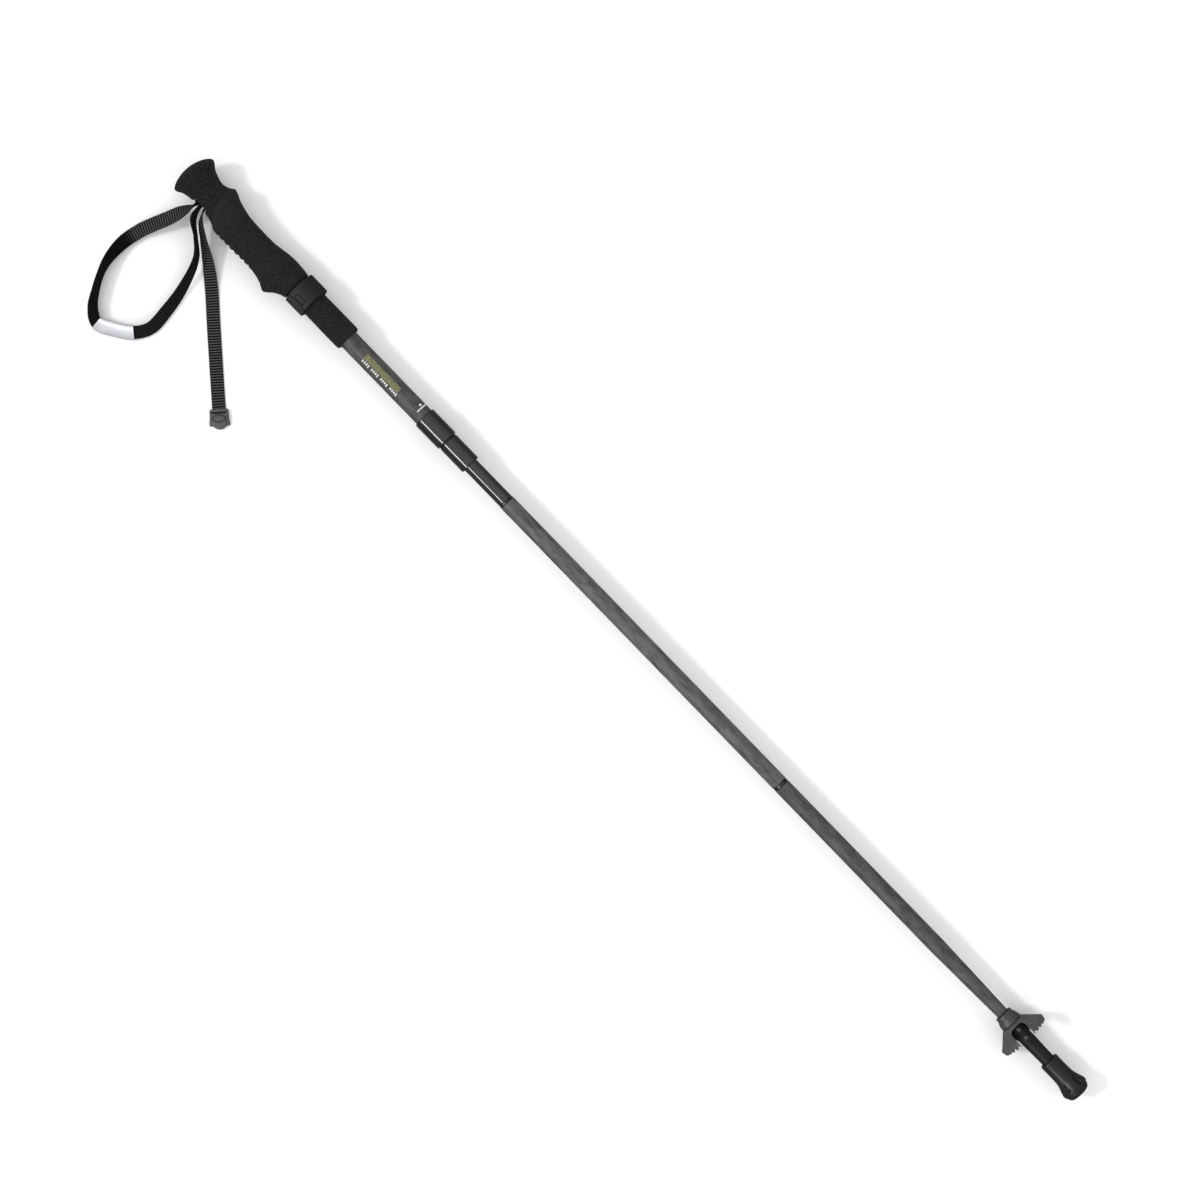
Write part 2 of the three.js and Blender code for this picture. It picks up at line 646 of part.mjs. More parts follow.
add('snap_button', snapButton(), materials.steel);
add('button_spring', buttonSpring(), materials.steel);
add('cord_anchor', ring(SPRING_X[1] + GAP, SPRING_X[1] + 7, 6.0, 1.6), materials.alloy);
add('cord_spring', cordSpring(), materials.steel);
add('cord_slider', rod(SPRING_X[0] - 8, SPRING_X[0] - GAP, 5.4), materials.plastic);
add('tension_cord_upper', rod(UPPER_JOINT_X - 12, SPRING_X[0] - 8 - GAP, CORD_R, 8), materials.cord);
add('tension_cord_middle', rod(LOWER_JOINT_X + 53, UPPER_JOINT_X - 13, CORD_R, 8), materials.cord);
add('middle_tube', ring(
  LOWER_JOINT_X + 3.8, UPPER_JOINT_X, TUBE_R, TUBE_BORE_R,
), materials.carbon);
add('lower_ferrule', lowerFerrule(), materials.plastic);
add('tension_cord_link', rod(LOWER_JOINT_X - 12, LOWER_JOINT_X + 52, CORD_R, 8), materials.cord);
add('tension_cord_lower', rod(LOWER_JOINT_X - 49, LOWER_JOINT_X - 13, CORD_R, 8), materials.cord);
add('cord_stop', ring(LOWER_JOINT_X - 60, LOWER_JOINT_X - 49.3, 6.4, 1.6), materials.alloy);
add('lower_tube', lowerTube(), materials.carbon);
add('basket_nut', basketNut(), materials.plastic);
add('basket', basket(), materials.plastic);
add('tip_shaft', tipShaft(), materials.plastic);
add('carbide_tip', carbideTip(), materials.carbide);
add('tip_washer', rod(8.7, 10.4, 4.8), materials.steel);
add('rubber_tip', rubberTip(), materials.rubber);

export default pole;
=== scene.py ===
import math

import bmesh
import bpy
from mathutils import Matrix, Vector, noise


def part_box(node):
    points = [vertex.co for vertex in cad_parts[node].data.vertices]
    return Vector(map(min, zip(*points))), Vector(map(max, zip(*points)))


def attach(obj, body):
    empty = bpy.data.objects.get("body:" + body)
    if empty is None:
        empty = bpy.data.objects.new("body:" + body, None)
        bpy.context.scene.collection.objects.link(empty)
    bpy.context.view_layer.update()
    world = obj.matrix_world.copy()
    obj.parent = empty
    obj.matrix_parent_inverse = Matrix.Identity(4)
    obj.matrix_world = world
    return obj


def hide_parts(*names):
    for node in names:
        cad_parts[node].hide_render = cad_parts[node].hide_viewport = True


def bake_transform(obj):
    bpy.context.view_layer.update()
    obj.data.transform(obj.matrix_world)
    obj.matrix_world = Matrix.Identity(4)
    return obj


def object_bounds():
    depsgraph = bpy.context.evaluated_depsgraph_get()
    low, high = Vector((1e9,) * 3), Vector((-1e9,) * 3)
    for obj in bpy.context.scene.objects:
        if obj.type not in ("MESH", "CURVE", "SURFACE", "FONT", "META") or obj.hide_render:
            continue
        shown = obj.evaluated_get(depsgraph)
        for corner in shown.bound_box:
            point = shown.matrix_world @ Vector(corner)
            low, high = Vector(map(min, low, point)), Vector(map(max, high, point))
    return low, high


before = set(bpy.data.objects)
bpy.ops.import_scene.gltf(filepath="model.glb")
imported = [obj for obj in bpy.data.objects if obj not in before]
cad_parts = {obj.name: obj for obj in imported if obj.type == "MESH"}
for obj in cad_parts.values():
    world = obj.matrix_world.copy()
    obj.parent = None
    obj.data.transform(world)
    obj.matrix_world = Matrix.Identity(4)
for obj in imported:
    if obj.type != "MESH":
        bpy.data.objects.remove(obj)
cad_low, cad_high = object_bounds()
scene = bpy.context.scene

# Lengths in this script are millimetres in the frame's axes: X along the pole to the grip, +Z up, +Y the
# strap's side. MM turns them into the scene's metres where meshes, lights and the camera are made.
MM = 0.001
FLOOR_Z = cad_low.z / MM


def extent(node):
    """Where a CAD node starts and ends along the pole, and its outer radius."""
    low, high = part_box(node)
    return low.x / MM, high.x / MM, high.z / MM


# Camera, floor and light.

VIEW_HEIGHT = 3010
VIEW_CENTRE = (609.5, 1)
POLE_TURN_DEG = 225.87
STRIP_PLACE = (2300, 2100)
FLOOR_REACH = 30000
SQUARE = ((-1, -1), (1, -1), (1, 1), (-1, 1))


def make_camera():
    data = bpy.data.cameras.new("camera")
    data.lens = 102
    data.sensor_width = 36
    data.clip_end = 20
    camera = bpy.data.objects.new("camera", data)
    camera.location = Vector((*VIEW_CENTRE, VIEW_HEIGHT)) * MM
    camera.rotation_euler = (0, 0, math.radians(POLE_TURN_DEG))
    scene.collection.objects.link(camera)
    scene.camera = camera


def lamp(name, kind, aim, place=(0, 0, 0)):
    """A lamp of the given kind that shines along aim."""
    data = bpy.data.lights.new(name, kind)
    light = bpy.data.objects.new(name, data)
    light.location = Vector(place) * MM
    light.rotation_mode = "QUATERNION"
    light.rotation_quaternion = Vector(aim).to_track_quat("-Z", "Y")
    scene.collection.objects.link(light)
    return light


def make_studio():
    """A soft sun from the grip's and the strap's side, a long strip light that only shows in reflections, and
    a room that is brightest overhead."""
    sun = lamp("sun", "SUN", (-0.46, -0.44, -0.78))
    sun.data.energy = 0.9
    sun.data.angle = math.radians(8)
    place = Vector((VIEW_CENTRE[0], *STRIP_PLACE))
    strip = lamp("strip", "AREA", Vector((VIEW_CENTRE[0], 0, FLOOR_Z)) - place, place)
    strip.data.shape = "RECTANGLE"
    strip.data.size, strip.data.size_y = 3.0, 0.5
    strip.data.energy = 100
    strip.visible_diffuse = False
    world = bpy.data.worlds.new("studio")
    world.use_nodes = True
    tree = world.node_tree
    direction = tree.nodes.new("ShaderNodeTexCoord").outputs["Generated"]
    height = tree.nodes.new("ShaderNodeSeparateXYZ")
    tree.links.new(direction, height.inputs["Vector"])
    fade = tree.nodes.new("ShaderNodeMapRange")
    tree.links.new(height.outputs["Z"], fade.inputs["Value"])
    fade.inputs["To Min"].default_value = 0.3
    fade.inputs["To Max"].default_value = 1.3
    tree.links.new(fade.outputs["Result"], tree.nodes["Background"].inputs["Strength"])
    tree.nodes["Background"].inputs["Color"].default_value = (1, 1, 1, 1)
    scene.world = world
    scene.view_settings.view_transform = "Standard"
    scene.view_settings.look = "None"


def make_floor(finish):
    mesh = bpy.data.meshes.new("floor")
    corners = [Vector((x * FLOOR_REACH, y * FLOOR_REACH, FLOOR_Z)) * MM for x, y in SQUARE]
    mesh.from_pydata(corners, [], [(0, 1, 2, 3)])
    floor = bpy.data.objects.new("floor", mesh)
    scene.collection.objects.link(floor)
    floor.visible_glossy = False
    mesh.materials.append(finish)


# Finishes.

PALM_EDGE_X = 1096.7
PALM_EDGE_Y = 8
PALM_EDGE_CURVE = 0.0185


class Finish:
    """A procedural material whose patterns are sized in millimetres and fixed to the piece."""

    def __init__(self, name, colour, roughness, metallic=0.0):
        self.material = bpy.data.materials.new(name)
        self.material.use_nodes = True
        self.tree = self.material.node_tree
        self.surface = self.tree.nodes["Principled BSDF"]
        for socket, value in (("Base Color", colour), ("Roughness", roughness), ("Metallic", metallic)):
            self.feed(self.surface.inputs[socket], value)
        self.place = self.tree.nodes.new("ShaderNodeTexCoord").outputs["Object"]
        self.normal = None

    def set(self, socket, value):
        self.surface.inputs[socket].default_value = value
        return self

    def feed(self, socket, value):
        """Gives a socket another node's output, a colour or a number."""
        if isinstance(value, bpy.types.NodeSocket):
            self.tree.links.new(value, socket)
        else:
            socket.default_value = (*value, 1) if isinstance(value, tuple) else value

    def node(self, kind, **values):
        made = self.tree.nodes.new(kind)
        for socket, value in values.items():
            self.feed(made.inputs[socket], value)
        return made

    def sized(self, size):
        mapping = self.node("ShaderNodeMapping", Vector=self.place)
        mapping.inputs["Scale"].default_value = [1 / (s * MM) for s in size]
        return mapping.outputs["Vector"]

    def noise(self, size, detail=3.0, distortion=0.0):
        texture = self.node(
            "ShaderNodeTexNoise", Vector=self.sized(size), Scale=1, Detail=detail, Distortion=distortion)
        return texture.outputs["Fac"]

    def cells(self, size):
        return self.node("ShaderNodeTexVoronoi", Vector=self.sized(size), Scale=1).outputs["Distance"]

    def attribute(self, name):
        made = self.node("ShaderNodeAttribute")
        made.attribute_name = name
        return made.outputs["Fac"]

    def ramp(self, value, low, high, start=0.0, end=1.0):
        ends = {"From Min": low, "From Max": high, "To Min": start, "To Max": end}
        return self.node("ShaderNodeMapRange", Value=value, **ends).outputs["Result"]

    def maths(self, operation, first, second):
        made = self.tree.nodes.new("ShaderNodeMath")
        made.operation = operation
        self.feed(made.inputs[0], first)
        self.feed(made.inputs[1], second)
        return made.outputs["Value"]

    def blend_colour(self, factor, first, second):
        made = self.tree.nodes.new("ShaderNodeMix")
        made.data_type = "RGBA"
        self.feed(made.inputs["Factor"], factor)
        self.feed(made.inputs["A"], first)
        self.feed(made.inputs["B"], second)
        return made.outputs["Result"]

    def colour(self, output):
        self.feed(self.surface.inputs["Base Color"], output)
        return self

    def roughness(self, value, smooth, rough):
        self.feed(self.surface.inputs["Roughness"], self.ramp(value, 0.3, 0.7, smooth, rough))
        return self

    def bump(self, height, depth):
        made = self.node("ShaderNodeBump", Height=height, Distance=depth * MM)
        if self.normal is not None:
            self.feed(made.inputs["Normal"], self.normal)
        self.normal = made.outputs["Normal"]
        self.feed(self.surface.inputs["Normal"], self.normal)
        return self


def even(value):
    """The same size in every direction, or a grey."""
    return (value, value, value)


def lighter_palm_and_edge_highlight(made):
    """1 along the palm's raised edge, which ends in an arc below the strap's slot, as a painted highlight,
    falling to 0.25 further in where the palm is painted lighter, and 0 above the arc.
    """
    place = made.node("ShaderNodeSeparateXYZ", Vector=made.place)
    bow = made.maths("MAXIMUM", made.maths("ADD", place.outputs["Y"], PALM_EDGE_Y * MM), 0)
    drop = made.maths("MULTIPLY", made.maths("MULTIPLY", bow, bow), PALM_EDGE_CURVE / MM)
    inside = made.maths("SUBTRACT", PALM_EDGE_X * MM, made.maths("ADD", place.outputs["X"], drop))
    near = made.ramp(inside, -0.5 * MM, 0.7 * MM)
    return made.maths("MULTIPLY", near, made.ramp(inside, 0, 30 * MM, 1.0, 0.25))


def foam_finish():
    made = Finish("eva_foam", (0.010, 0.0095, 0.0092), 0.9)
    grain = made.noise(even(1.2), detail=4)
    patches = made.ramp(made.noise(even(8), detail=2), 0.3, 0.7)
    ground = made.blend_colour(patches, (0.0072, 0.0067, 0.0066), (0.0098, 0.0092, 0.0091))
    # The palm is painted lighter, most of all along its raised edge as a painted highlight.
    ground = made.blend_colour(lighter_palm_and_edge_highlight(made), ground, (0.0152, 0.0143, 0.0142))
    made.colour(made.blend_colour(made.ramp(grain, 0.44, 0.72), ground, (0.0320, 0.0308, 0.0304)))
    made.roughness(grain, 0.84, 0.96)
    made.set("Sheen Weight", 0.02).set("Sheen Roughness", 0.5)
    made.set("Specular IOR Level", 0.05)
    made.bump(made.noise(even(2.6), detail=2), 0.10)
    made.bump(made.cells(even(0.9)), 0.16)
    return made.material


def carbon_finish(name, painted_lightness):
    """Matt unidirectional carbon with cloudy patches. painted_lightness scales its colours: the middle tube's
    copy is painted lighter as painted light on the pole's middle.
    """
    def shade(*colour):
        return tuple(painted_lightness * channel for channel in colour)

    made = Finish(name, shade(0.05, 0.048, 0.046), 0.5)
    fibres = made.noise((14, 0.45, 0.45), detail=4, distortion=0.3)
    cloud = made.ramp(made.noise((13, 4.5, 4.5), detail=4), 0.36, 0.64)
    wrap = made.noise((2.2, 9, 9), detail=2)
    ground = made.blend_colour(cloud, shade(0.023, 0.0215, 0.0214), shade(0.080, 0.0757, 0.0754))
    strand = made.ramp(fibres, 0.42, 0.66)
    made.colour(made.blend_colour(strand, ground, shade(0.088, 0.0828, 0.0823)))
    made.roughness(made.maths("MULTIPLY", made.maths("ADD", fibres, wrap), 0.5), 0.5, 0.66)
    made.set("Specular IOR Level", 0.22)
    made.bump(fibres, 0.02)
    made.bump(wrap, 0.015)
    return made.material


def gloss_finish(name, shade, tint_colour):
    made = Finish(name, shade, 0.1)
    cloud = made.noise(even(30), detail=2)
    scuff = made.noise((9, 0.5, 0.5), detail=5)
    made.colour(made.blend_colour(cloud, shade, tint_colour))
    made.roughness(scuff, 0.05, 0.16)
    made.set("Coat Weight", 0.15).set("Coat Roughness", 0.04)
    made.bump(made.noise(even(2.5), detail=1), 0.0015)
    return made.material


def plastic_finish(name, dark, light, rough, grain=0.35, depth=0.03, edge=0.0, shine=0.5):
    """Moulded plastic or rubber: a fine spark-eroded grain, cloudy colour and, on request, lighter rubbed
    patches.
    """
    made = Finish(name, dark, rough)
    cloud = made.noise(even(6), detail=3)
    texture = made.noise(even(grain), detail=3)
    colour = made.blend_colour(cloud, dark, light)
    if edge:
        rubbed = made.ramp(made.noise(even(2.2), detail=4), 0.52, 0.8, 0, edge)
        worn = tuple(2.1 * channel for channel in light)
        colour = made.blend_colour(rubbed, colour, worn)
    made.colour(colour)
    made.set("Specular IOR Level", shine)
    made.roughness(texture, rough - 0.07, rough + 0.08)
    made.bump(texture, depth)
    return made.material


def metal_finish(name, colour, rough, stretch):
    """Bare metal with turning or drawing marks along one direction."""
    made = Finish(name, colour, rough, metallic=1.0)
    marks = made.noise(stretch, detail=4)
    dull = tuple(0.72 * channel for channel in colour)
    made.colour(made.blend_colour(marks, dull, colour))
    made.roughness(marks, rough - 0.08, rough + 0.12)
    made.bump(marks, 0.008)
    return made.material


def webbing_finish():
    made = Finish("ribbed_webbing", (0.012, 0.011, 0.011), 0.75)
    # The rib attribute paints light and shade into the colour: painted light on the rib crests, painted shade
    # near black in the valleys, on the lining and underneath, with the yarn's own variation on top.
    rib = made.maths("POWER", made.attribute("rib"), 4.0)
    yarn = made.noise(even(0.35), detail=3)
    crest_light_and_yarn = made.maths("MULTIPLY", rib, made.ramp(yarn, 0.2, 0.8, 0.6, 1.0))
    made.colour(made.blend_colour(crest_light_and_yarn, (0.0008, 0.0007, 0.0008), (0.130, 0.122, 0.125)))
    made.roughness(yarn, 0.66, 0.88)
    made.set("Specular IOR Level", 0.06)
    made.bump(yarn, 0.06)
    twill = made.maths("SINE", made.maths("MULTIPLY", made.attribute("across"), 2 * math.pi / 0.7), 0)
    made.bump(twill, 0.05)
    return made.material


def sleeve_finish():
    made = Finish("silver_tape", (0.52, 0.53, 0.57), 0.32, metallic=0.25)
    fine = made.noise(even(0.5), detail=3)
    soft = made.noise((9, 9, 4), detail=2)
    made.colour(made.blend_colour(soft, (0.47, 0.48, 0.52), (0.60, 0.61, 0.65)))
    made.roughness(fine, 0.26, 0.42)
    made.bump(soft, 0.12)
    made.bump(fine, 0.02)
    return made.material


def cord_finish():
    made = Finish("braided_cord", (0.02, 0.02, 0.021), 0.8)
    braid = made.cells((0.9, 0.55, 0.55))
    made.colour(made.blend_colour(made.ramp(braid, 0.1, 0.7), (0.035, 0.035, 0.037), (0.008, 0.008, 0.009)))
    made.roughness(made.noise(even(0.3)), 0.7, 0.92)
    made.bump(braid, 0.12)
    return made.material


def print_finish(name, dark, light):
    made = Finish(name, dark, 0.6)
    ink = made.noise((3, 1, 1), detail=4)
    made.colour(made.blend_colour(made.ramp(ink, 0.38, 0.62), dark, light))
    made.roughness(ink, 0.5, 0.66)
    made.set("Specular IOR Level", 0.2)
    made.bump(ink, 0.01)
    return made.material


def floor_finish():
    made = Finish("floor_paper", even(0.98), 0.9)
    made.set("Specular IOR Level", 0.1)
    made.colour(made.blend_colour(made.noise(even(250), detail=1), even(0.975), even(0.985)))
    return made.material


CARBON_MIDDLE_PAINTED_LIGHT = 1.4

# Each plastic's shade, lighter shade and roughness, and what differs from plain moulded plastic.
PLASTICS = {
    "grip_plastic": (even(0.02), even(0.03), 0.5, {}),
    "grey_plastic": ((0.032, 0.032, 0.033), (0.048, 0.048, 0.049), 0.58, {"edge": 0.4}),
    "keeper_rubber": ((0.0065, 0.0063, 0.0064), (0.0115, 0.0112, 0.0113), 0.62, {"shine": 0.2}),
    "keeper_plastic": ((0.0115, 0.0118, 0.0115), (0.019, 0.0195, 0.019), 0.5, {"shine": 0.3}),
    "basket_plastic": ((0.0480, 0.0436, 0.0468), (0.0900, 0.0826, 0.0886), 0.46,
                       {"grain": 0.5, "depth": 0.04, "edge": 0.55, "shine": 0.2}),
    "nut_plastic": ((0.0270, 0.0245, 0.0263), (0.0500, 0.0458, 0.0492), 0.44,
                    {"grain": 0.5, "depth": 0.04, "edge": 0.5, "shine": 0.3}),
    "shaft_plastic": ((0.0090, 0.0086, 0.0087), (0.0155, 0.0148, 0.0151), 0.42, {"shine": 0.12}),
    "tip_rubber": ((0.0080, 0.0074, 0.0083), (0.0140, 0.0130, 0.0145), 0.34,
                   {"grain": 0.45, "depth": 0.04, "edge": 0.3, "shine": 0.2}),
}
finishes = {
    "foam": foam_finish(),
    "steel": metal_finish("steel", even(0.6), 0.26, (0.6, 6, 6)),
    "webbing": webbing_finish(),
    "silver_sleeve": sleeve_finish(),
    "carbon": carbon_finish("carbon_tube", 1.0),
    "gloss_black": gloss_finish("gloss_black", (0.004, 0.004, 0.0042), (0.0075, 0.0075, 0.0079)),
    "gloss_rod": gloss_finish("gloss_rod", (0.008, 0.0078, 0.0076), (0.014, 0.0137, 0.0134)),
    "black_alloy": metal_finish("black_alloy", (0.05, 0.05, 0.052), 0.34, (0.5, 8, 8)),
    "cord": cord_finish(),
    "carbide": metal_finish("carbide", (0.32, 0.32, 0.34), 0.36, even(0.4)),
}
for plastic, (*looks, differences) in PLASTICS.items():
    finishes[plastic] = plastic_finish(plastic, *looks, **differences)
# The middle tube's lighter copy of the carbon is painted light.
middle_carbon = carbon_finish("carbon_middle_tube", CARBON_MIDDLE_PAINTED_LIGHT)
olive_print = print_finish("olive_print", (0.118, 0.115, 0.058), (0.205, 0.202, 0.108))
white_print = print_finish("white_print", (0.62, 0.62, 0.6), (0.8, 0.8, 0.78))


# Meshes.

def skin(name, rings, closed=False, values=None):
    """One closed mesh through rings of points. A ring drawn in to one point closes an end; other ends
    get a cap, and a closed skin joins its last ring to its first. values holds a number for each point."""
    count = len(rings[0])
    points, kept, loops = [], {key: [] for key in values or {}}, []
    for i, ring in enumerate(rings):
        first = len(points)
        pole = (ring[0] - ring[count // 3]).length < 1e-6
        used = 1 if pole else count
        points.extend(ring[:used])
        for key, rows in (values or {}).items():
            kept[key].extend(rows[i][:used])
        loops.append([first] * count if pole else list(range(first, first + count)))
    faces = []
    for low, high in zip(loops, loops[1:] + (loops[:1] if closed else [])):
        for k in range(count):
            after = (k + 1) % count
            face = list(dict.fromkeys((low[k], low[after], high[after], high[k])))
            if len(face) > 2:
                faces.append(face)
    if not closed:
        faces.extend(loop for loop in (loops[0], loops[-1]) if len(set(loop)) > 2)
    mesh = bpy.data.meshes.new(name)
    mesh.from_pydata([point * MM for point in points], [], faces)
    for key, numbers in kept.items():
        mesh.attributes.new(key, "FLOAT", "POINT").data.foreach_set("value", numbers)
    return as_piece(name, mesh)


def as_piece(name, mesh):
    work = bmesh.new()
    work.from_mesh(mesh)
    bmesh.ops.recalc_face_normals(work, faces=work.faces)
    work.to_mesh(mesh)
    work.free()
    mesh.shade_smooth()
    mesh.set_sharp_from_angle(angle=math.radians(48))
    piece = bpy.data.objects.new(name, mesh)
    scene.collection.objects.link(piece)
    return piece


SHARP_TURN_DEG = 14
ARC_STEPS = 4


def softened(profile, radius, closed):
    """The profile with a small arc at each sharp corner, and a point just past each end of the arc."""
    points = [Vector(point) for point in profile]
    result = []
    for i, point in enumerate(points):
        at_end = not closed and i in (0, len(points) - 1)
        before, after = points[i - 1] - point, points[(i + 1) % len(points)] - point
        if at_end or math.pi - before.angle(after) < math.radians(SHARP_TURN_DEG):
            result.append(point)
            continue
        reach = min(radius, 0.35 * before.length, 0.35 * after.length)
        start, end = point + before.normalized() * reach, point + after.normalized() * reach
        result.append(start.lerp(start + before, 0.25 * reach / before.length))
        for step in range(ARC_STEPS + 1):
            share = step / ARC_STEPS
            result.append(start.lerp(point, share).lerp(point.lerp(end, share), share))
        result.append(end.lerp(end + after, 0.25 * reach / after.length))
    return result


def full_turn(sides):
    return [2 * math.pi * k / sides for k in range(sides)]


def about_pole(x, radius, angle):
    """A point at an angle that runs from +Z towards +Y."""
    return Vector((x, radius * math.sin(angle), radius * math.cos(angle)))


def turned(name, outside, inside=None, sides=96, soften=0.3, shape=None):
    """A turned piece from profiles of (x, radius). Without an inside it is solid. shape may move a point,
    given its x, radius and angle."""
    if inside is None:
        first, last = outside[0][0], outside[-1][0]
        profile = softened([(first, 0), *outside, (last, 0)], soften, False)
    else:
        profile = softened([*outside, *reversed(inside)], soften, True)
    angles = full_turn(sides)
    rings = []
    for x, radius in profile:
        moved = [shape(x, radius, angle) if shape and radius > 0 else (x, radius) for angle in angles]
        rings.append([about_pole(*place, angle) for place, angle in zip(moved, angles)])
    return skin(name, rings, closed=inside is not None)


def finer(profile, step):
    """The profile with extra points, so that none of its edges is longer than the step."""
    result = [profile[0]]
    for (x0, r0), (x1, r1) in zip(profile, profile[1:]):
        pieces = max(1, math.ceil(math.hypot(x1 - x0, r1 - r0) / step))
        result += [(x0 + (x1 - x0) * k / pieces, r0 + (r1 - r0) * k / pieces) for k in range(1, pieces + 1)]
    return result


def prism(name, outline, low, high, bevel=0.0, segments=2):
    """An upright block from an outline of (x, y), from z low to high."""
    rings = [[Vector((x, y, z)) for x, y in outline] for z in (low, high)]
    piece = skin(name, rings)
    if bevel:
        round_edges(piece, bevel, segments, 40)
        applied(piece)
    return piece


def round_edges(piece, width, segments, degrees):
    """A bevel on the edges that turn by more than the angle in degrees."""
    rounded = piece.modifiers.new("edges", "BEVEL")
    rounded.width = width * MM
    rounded.segments = segments
    rounded.limit_method = "ANGLE"
    rounded.angle_limit = math.radians(degrees)


def applied(piece):
    """Makes the modifiers' result the piece's own mesh."""
    graph = bpy.context.evaluated_depsgraph_get()
    graph.update()
    mesh = bpy.data.meshes.new_from_object(piece.evaluated_get(graph))
    piece.modifiers.clear()
    piece.data = mesh
    mesh.shade_smooth()
    mesh.set_sharp_from_angle(angle=math.radians(35))


def combine(piece, tools, operation):
    for tool in tools:
        step = piece.modifiers.new("combine", "BOOLEAN")
        step.operation = operation
        step.object = tool
        step.solver = "EXACT"
        applied(piece)
        bpy.data.objects.remove(tool)


def finished(piece, body, slot, *nodes, finish=None):
    """Gives a piece its finish (the slot's, or its own), its body and the CAD nodes that it stands for."""
    piece.data.materials.clear()
    piece.data.materials.append(finish or finishes[slot])
    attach(piece, body)
    if nodes:
        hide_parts(*nodes)
    return piece


def bent(piece, slot, nodes, bodies, start, end):
    """Gives a piece its finish and hides the CAD nodes that it stands for. The bodies, start and end are not
    used.
    """
    piece.data.materials.append(finishes[slot])
    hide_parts(*nodes)
    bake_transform(piece)


def carried_over(node, slot):
    """A CAD node that stays as it is, with its edges broken and a better finish."""
    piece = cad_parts[node]
    piece.data.materials.clear()
    piece.data.materials.append(finishes[slot])
    piece.data.set_sharp_from_angle(angle=math.radians(35))
    round_edges(piece, 0.1, 2, 35)


# Curves.

def catmull(points, share, power):
    """A Catmull-Rom curve through the points; power 0.25 is centripetal and 0 uniform."""
    last = len(points) - 1
    i = min(int(share * last), last - 1)
    f = share * last - i
    p1, p2 = points[i], points[i + 1]
    p0 = points[i - 1] if i > 0 else p1 * 2 - p2
    p3 = points[i + 2] if i + 2 <= last else p2 * 2 - p1
    d0, d1, d2 = ((b - a).length_squared ** power for a, b in ((p0, p1), (p1, p2), (p2, p3)))
    t1 = ((p1 - p0) / d0 - (p2 - p0) / (d0 + d1) + (p2 - p1) / d1) * d1
    t2 = ((p2 - p1) / d1 - (p3 - p1) / (d1 + d2) + (p3 - p2) / d2) * d1
    return p1 + t1 * f + (3 * (p2 - p1) - 2 * t1 - t2) * f ** 2 + (2 * (p1 - p2) + t1 + t2) * f ** 3


def smooth_value(stations, x):
    """The height at x of a smooth line through stations of (x, height)."""
    if x <= stations[0][0]:
        return stations[0][1]
    for i in range(len(stations) - 1):
        (x1, y1), (x2, y2) = stations[i], stations[i + 1]
        if x <= x2:
            x0, y0 = stations[max(i - 1, 0)]
            x3, y3 = stations[min(i + 2, len(stations) - 1)]
            slope1 = (y2 - y0) / (x2 - x0)
            slope2 = (y3 - y1) / (x3 - x1)
            width = x2 - x1
            t = (x - x1) / width
            rise = (3 * t ** 2 - 2 * t ** 3) * (y2 - y1)
            bend = ((t - 2 * t ** 2 + t ** 3) * slope1 + (t ** 3 - t ** 2) * slope2) * width
            return y1 + rise + bend
    return stations[-1][1]


def smoothstep(value, low, high):
    t = min(max((value - low) / (high - low), 0), 1)
    return t * t * (3 - 2 * t)


# Grip.

STRAP_SIDE = [
    (996, 14.7), (1000, 15.8), (1004, 17.8), (1007.5, 20.4), (1010.7, 23.4), (1013.6, 25.1), (1016.4, 24.2),
    (1020, 22.2), (1025, 20.6), (1030, 19.5), (1036, 18.8), (1048, 18.6), (1060, 18.9), (1072, 18.7),
    (1081, 18.3), (1086, 16.8), (1092, 14.8), (1099, 13.7), (1108, 13.5), (1116, 13.6), (1120, 14.1),
    (1124, 15.0), (1126, 15.7), (1128, 17.0), (1130, 18.1), (1131.6, 18.5), (1133, 17.8), (1134.6, 15.4),
    (1136, 11.6), (1137.4, 6.4), (1138.3, 0.0),
]
FAR_SIDE = [
    (996, 13.7), (1001, 14.4), (1010, 15.0), (1018, 14.8), (1028, 13.4), (1036, 12.2), (1048, 11.9),
    (1060, 12.1), (1070, 12.8), (1078, 14.3), (1085, 16.2), (1091, 18.7), (1094.5, 19.5), (1097.5, 18.7),
    (1101, 16.8), (1106, 15.7), (1110, 16.1), (1114, 17.3), (1118, 18.9), (1121, 20.5), (1124, 22.8),
    (1126, 24.2), (1128, 24.4), (1130, 23.3), (1132, 20.9), (1134, 17.6), (1136, 12.6), (1137.4, 6.9),
    (1138.3, 0.0),
]
GRIP_HEIGHT = [
    (996, 13.3), (1003, 14.2), (1014, 14.8), (1030, 14.6), (1070, 14.4), (1090, 14.2), (1099, 13.8),
    (1108, 13.9), (1114, 14.8), (1120, 16.5), (1125, 18.2), (1129, 19.0), (1132, 18.3), (1134.8, 14.8),
    (1137, 8.6), (1138.3, 0.0),
]
RIPPLES = (1033, 1080)
RIPPLE_PITCH = 6.1
RIPPLE_DEPTH = 1.1
PALM_RISE = 1.0


def grip_relief(x, y):
    """How far the foam stands proud: finger ripples on the strap's side, and the palm's raised edge."""
    along = smoothstep(x, RIPPLES[0], RIPPLES[0] + 5) * (1 - smoothstep(x, RIPPLES[1] - 5, RIPPLES[1]))
    wave = abs(math.sin(math.pi * (x - RIPPLES[0]) / RIPPLE_PITCH)) - 0.7
    ripple = RIPPLE_DEPTH * wave * along * smoothstep(y, 8, 16)
    inside = PALM_EDGE_X - PALM_EDGE_CURVE * max(y + PALM_EDGE_Y, 0) ** 2 - x
    palm = PALM_RISE * smoothstep(inside, -0.7, 0.7) * math.exp(-max(inside, 0) / 14)
    return ripple + palm


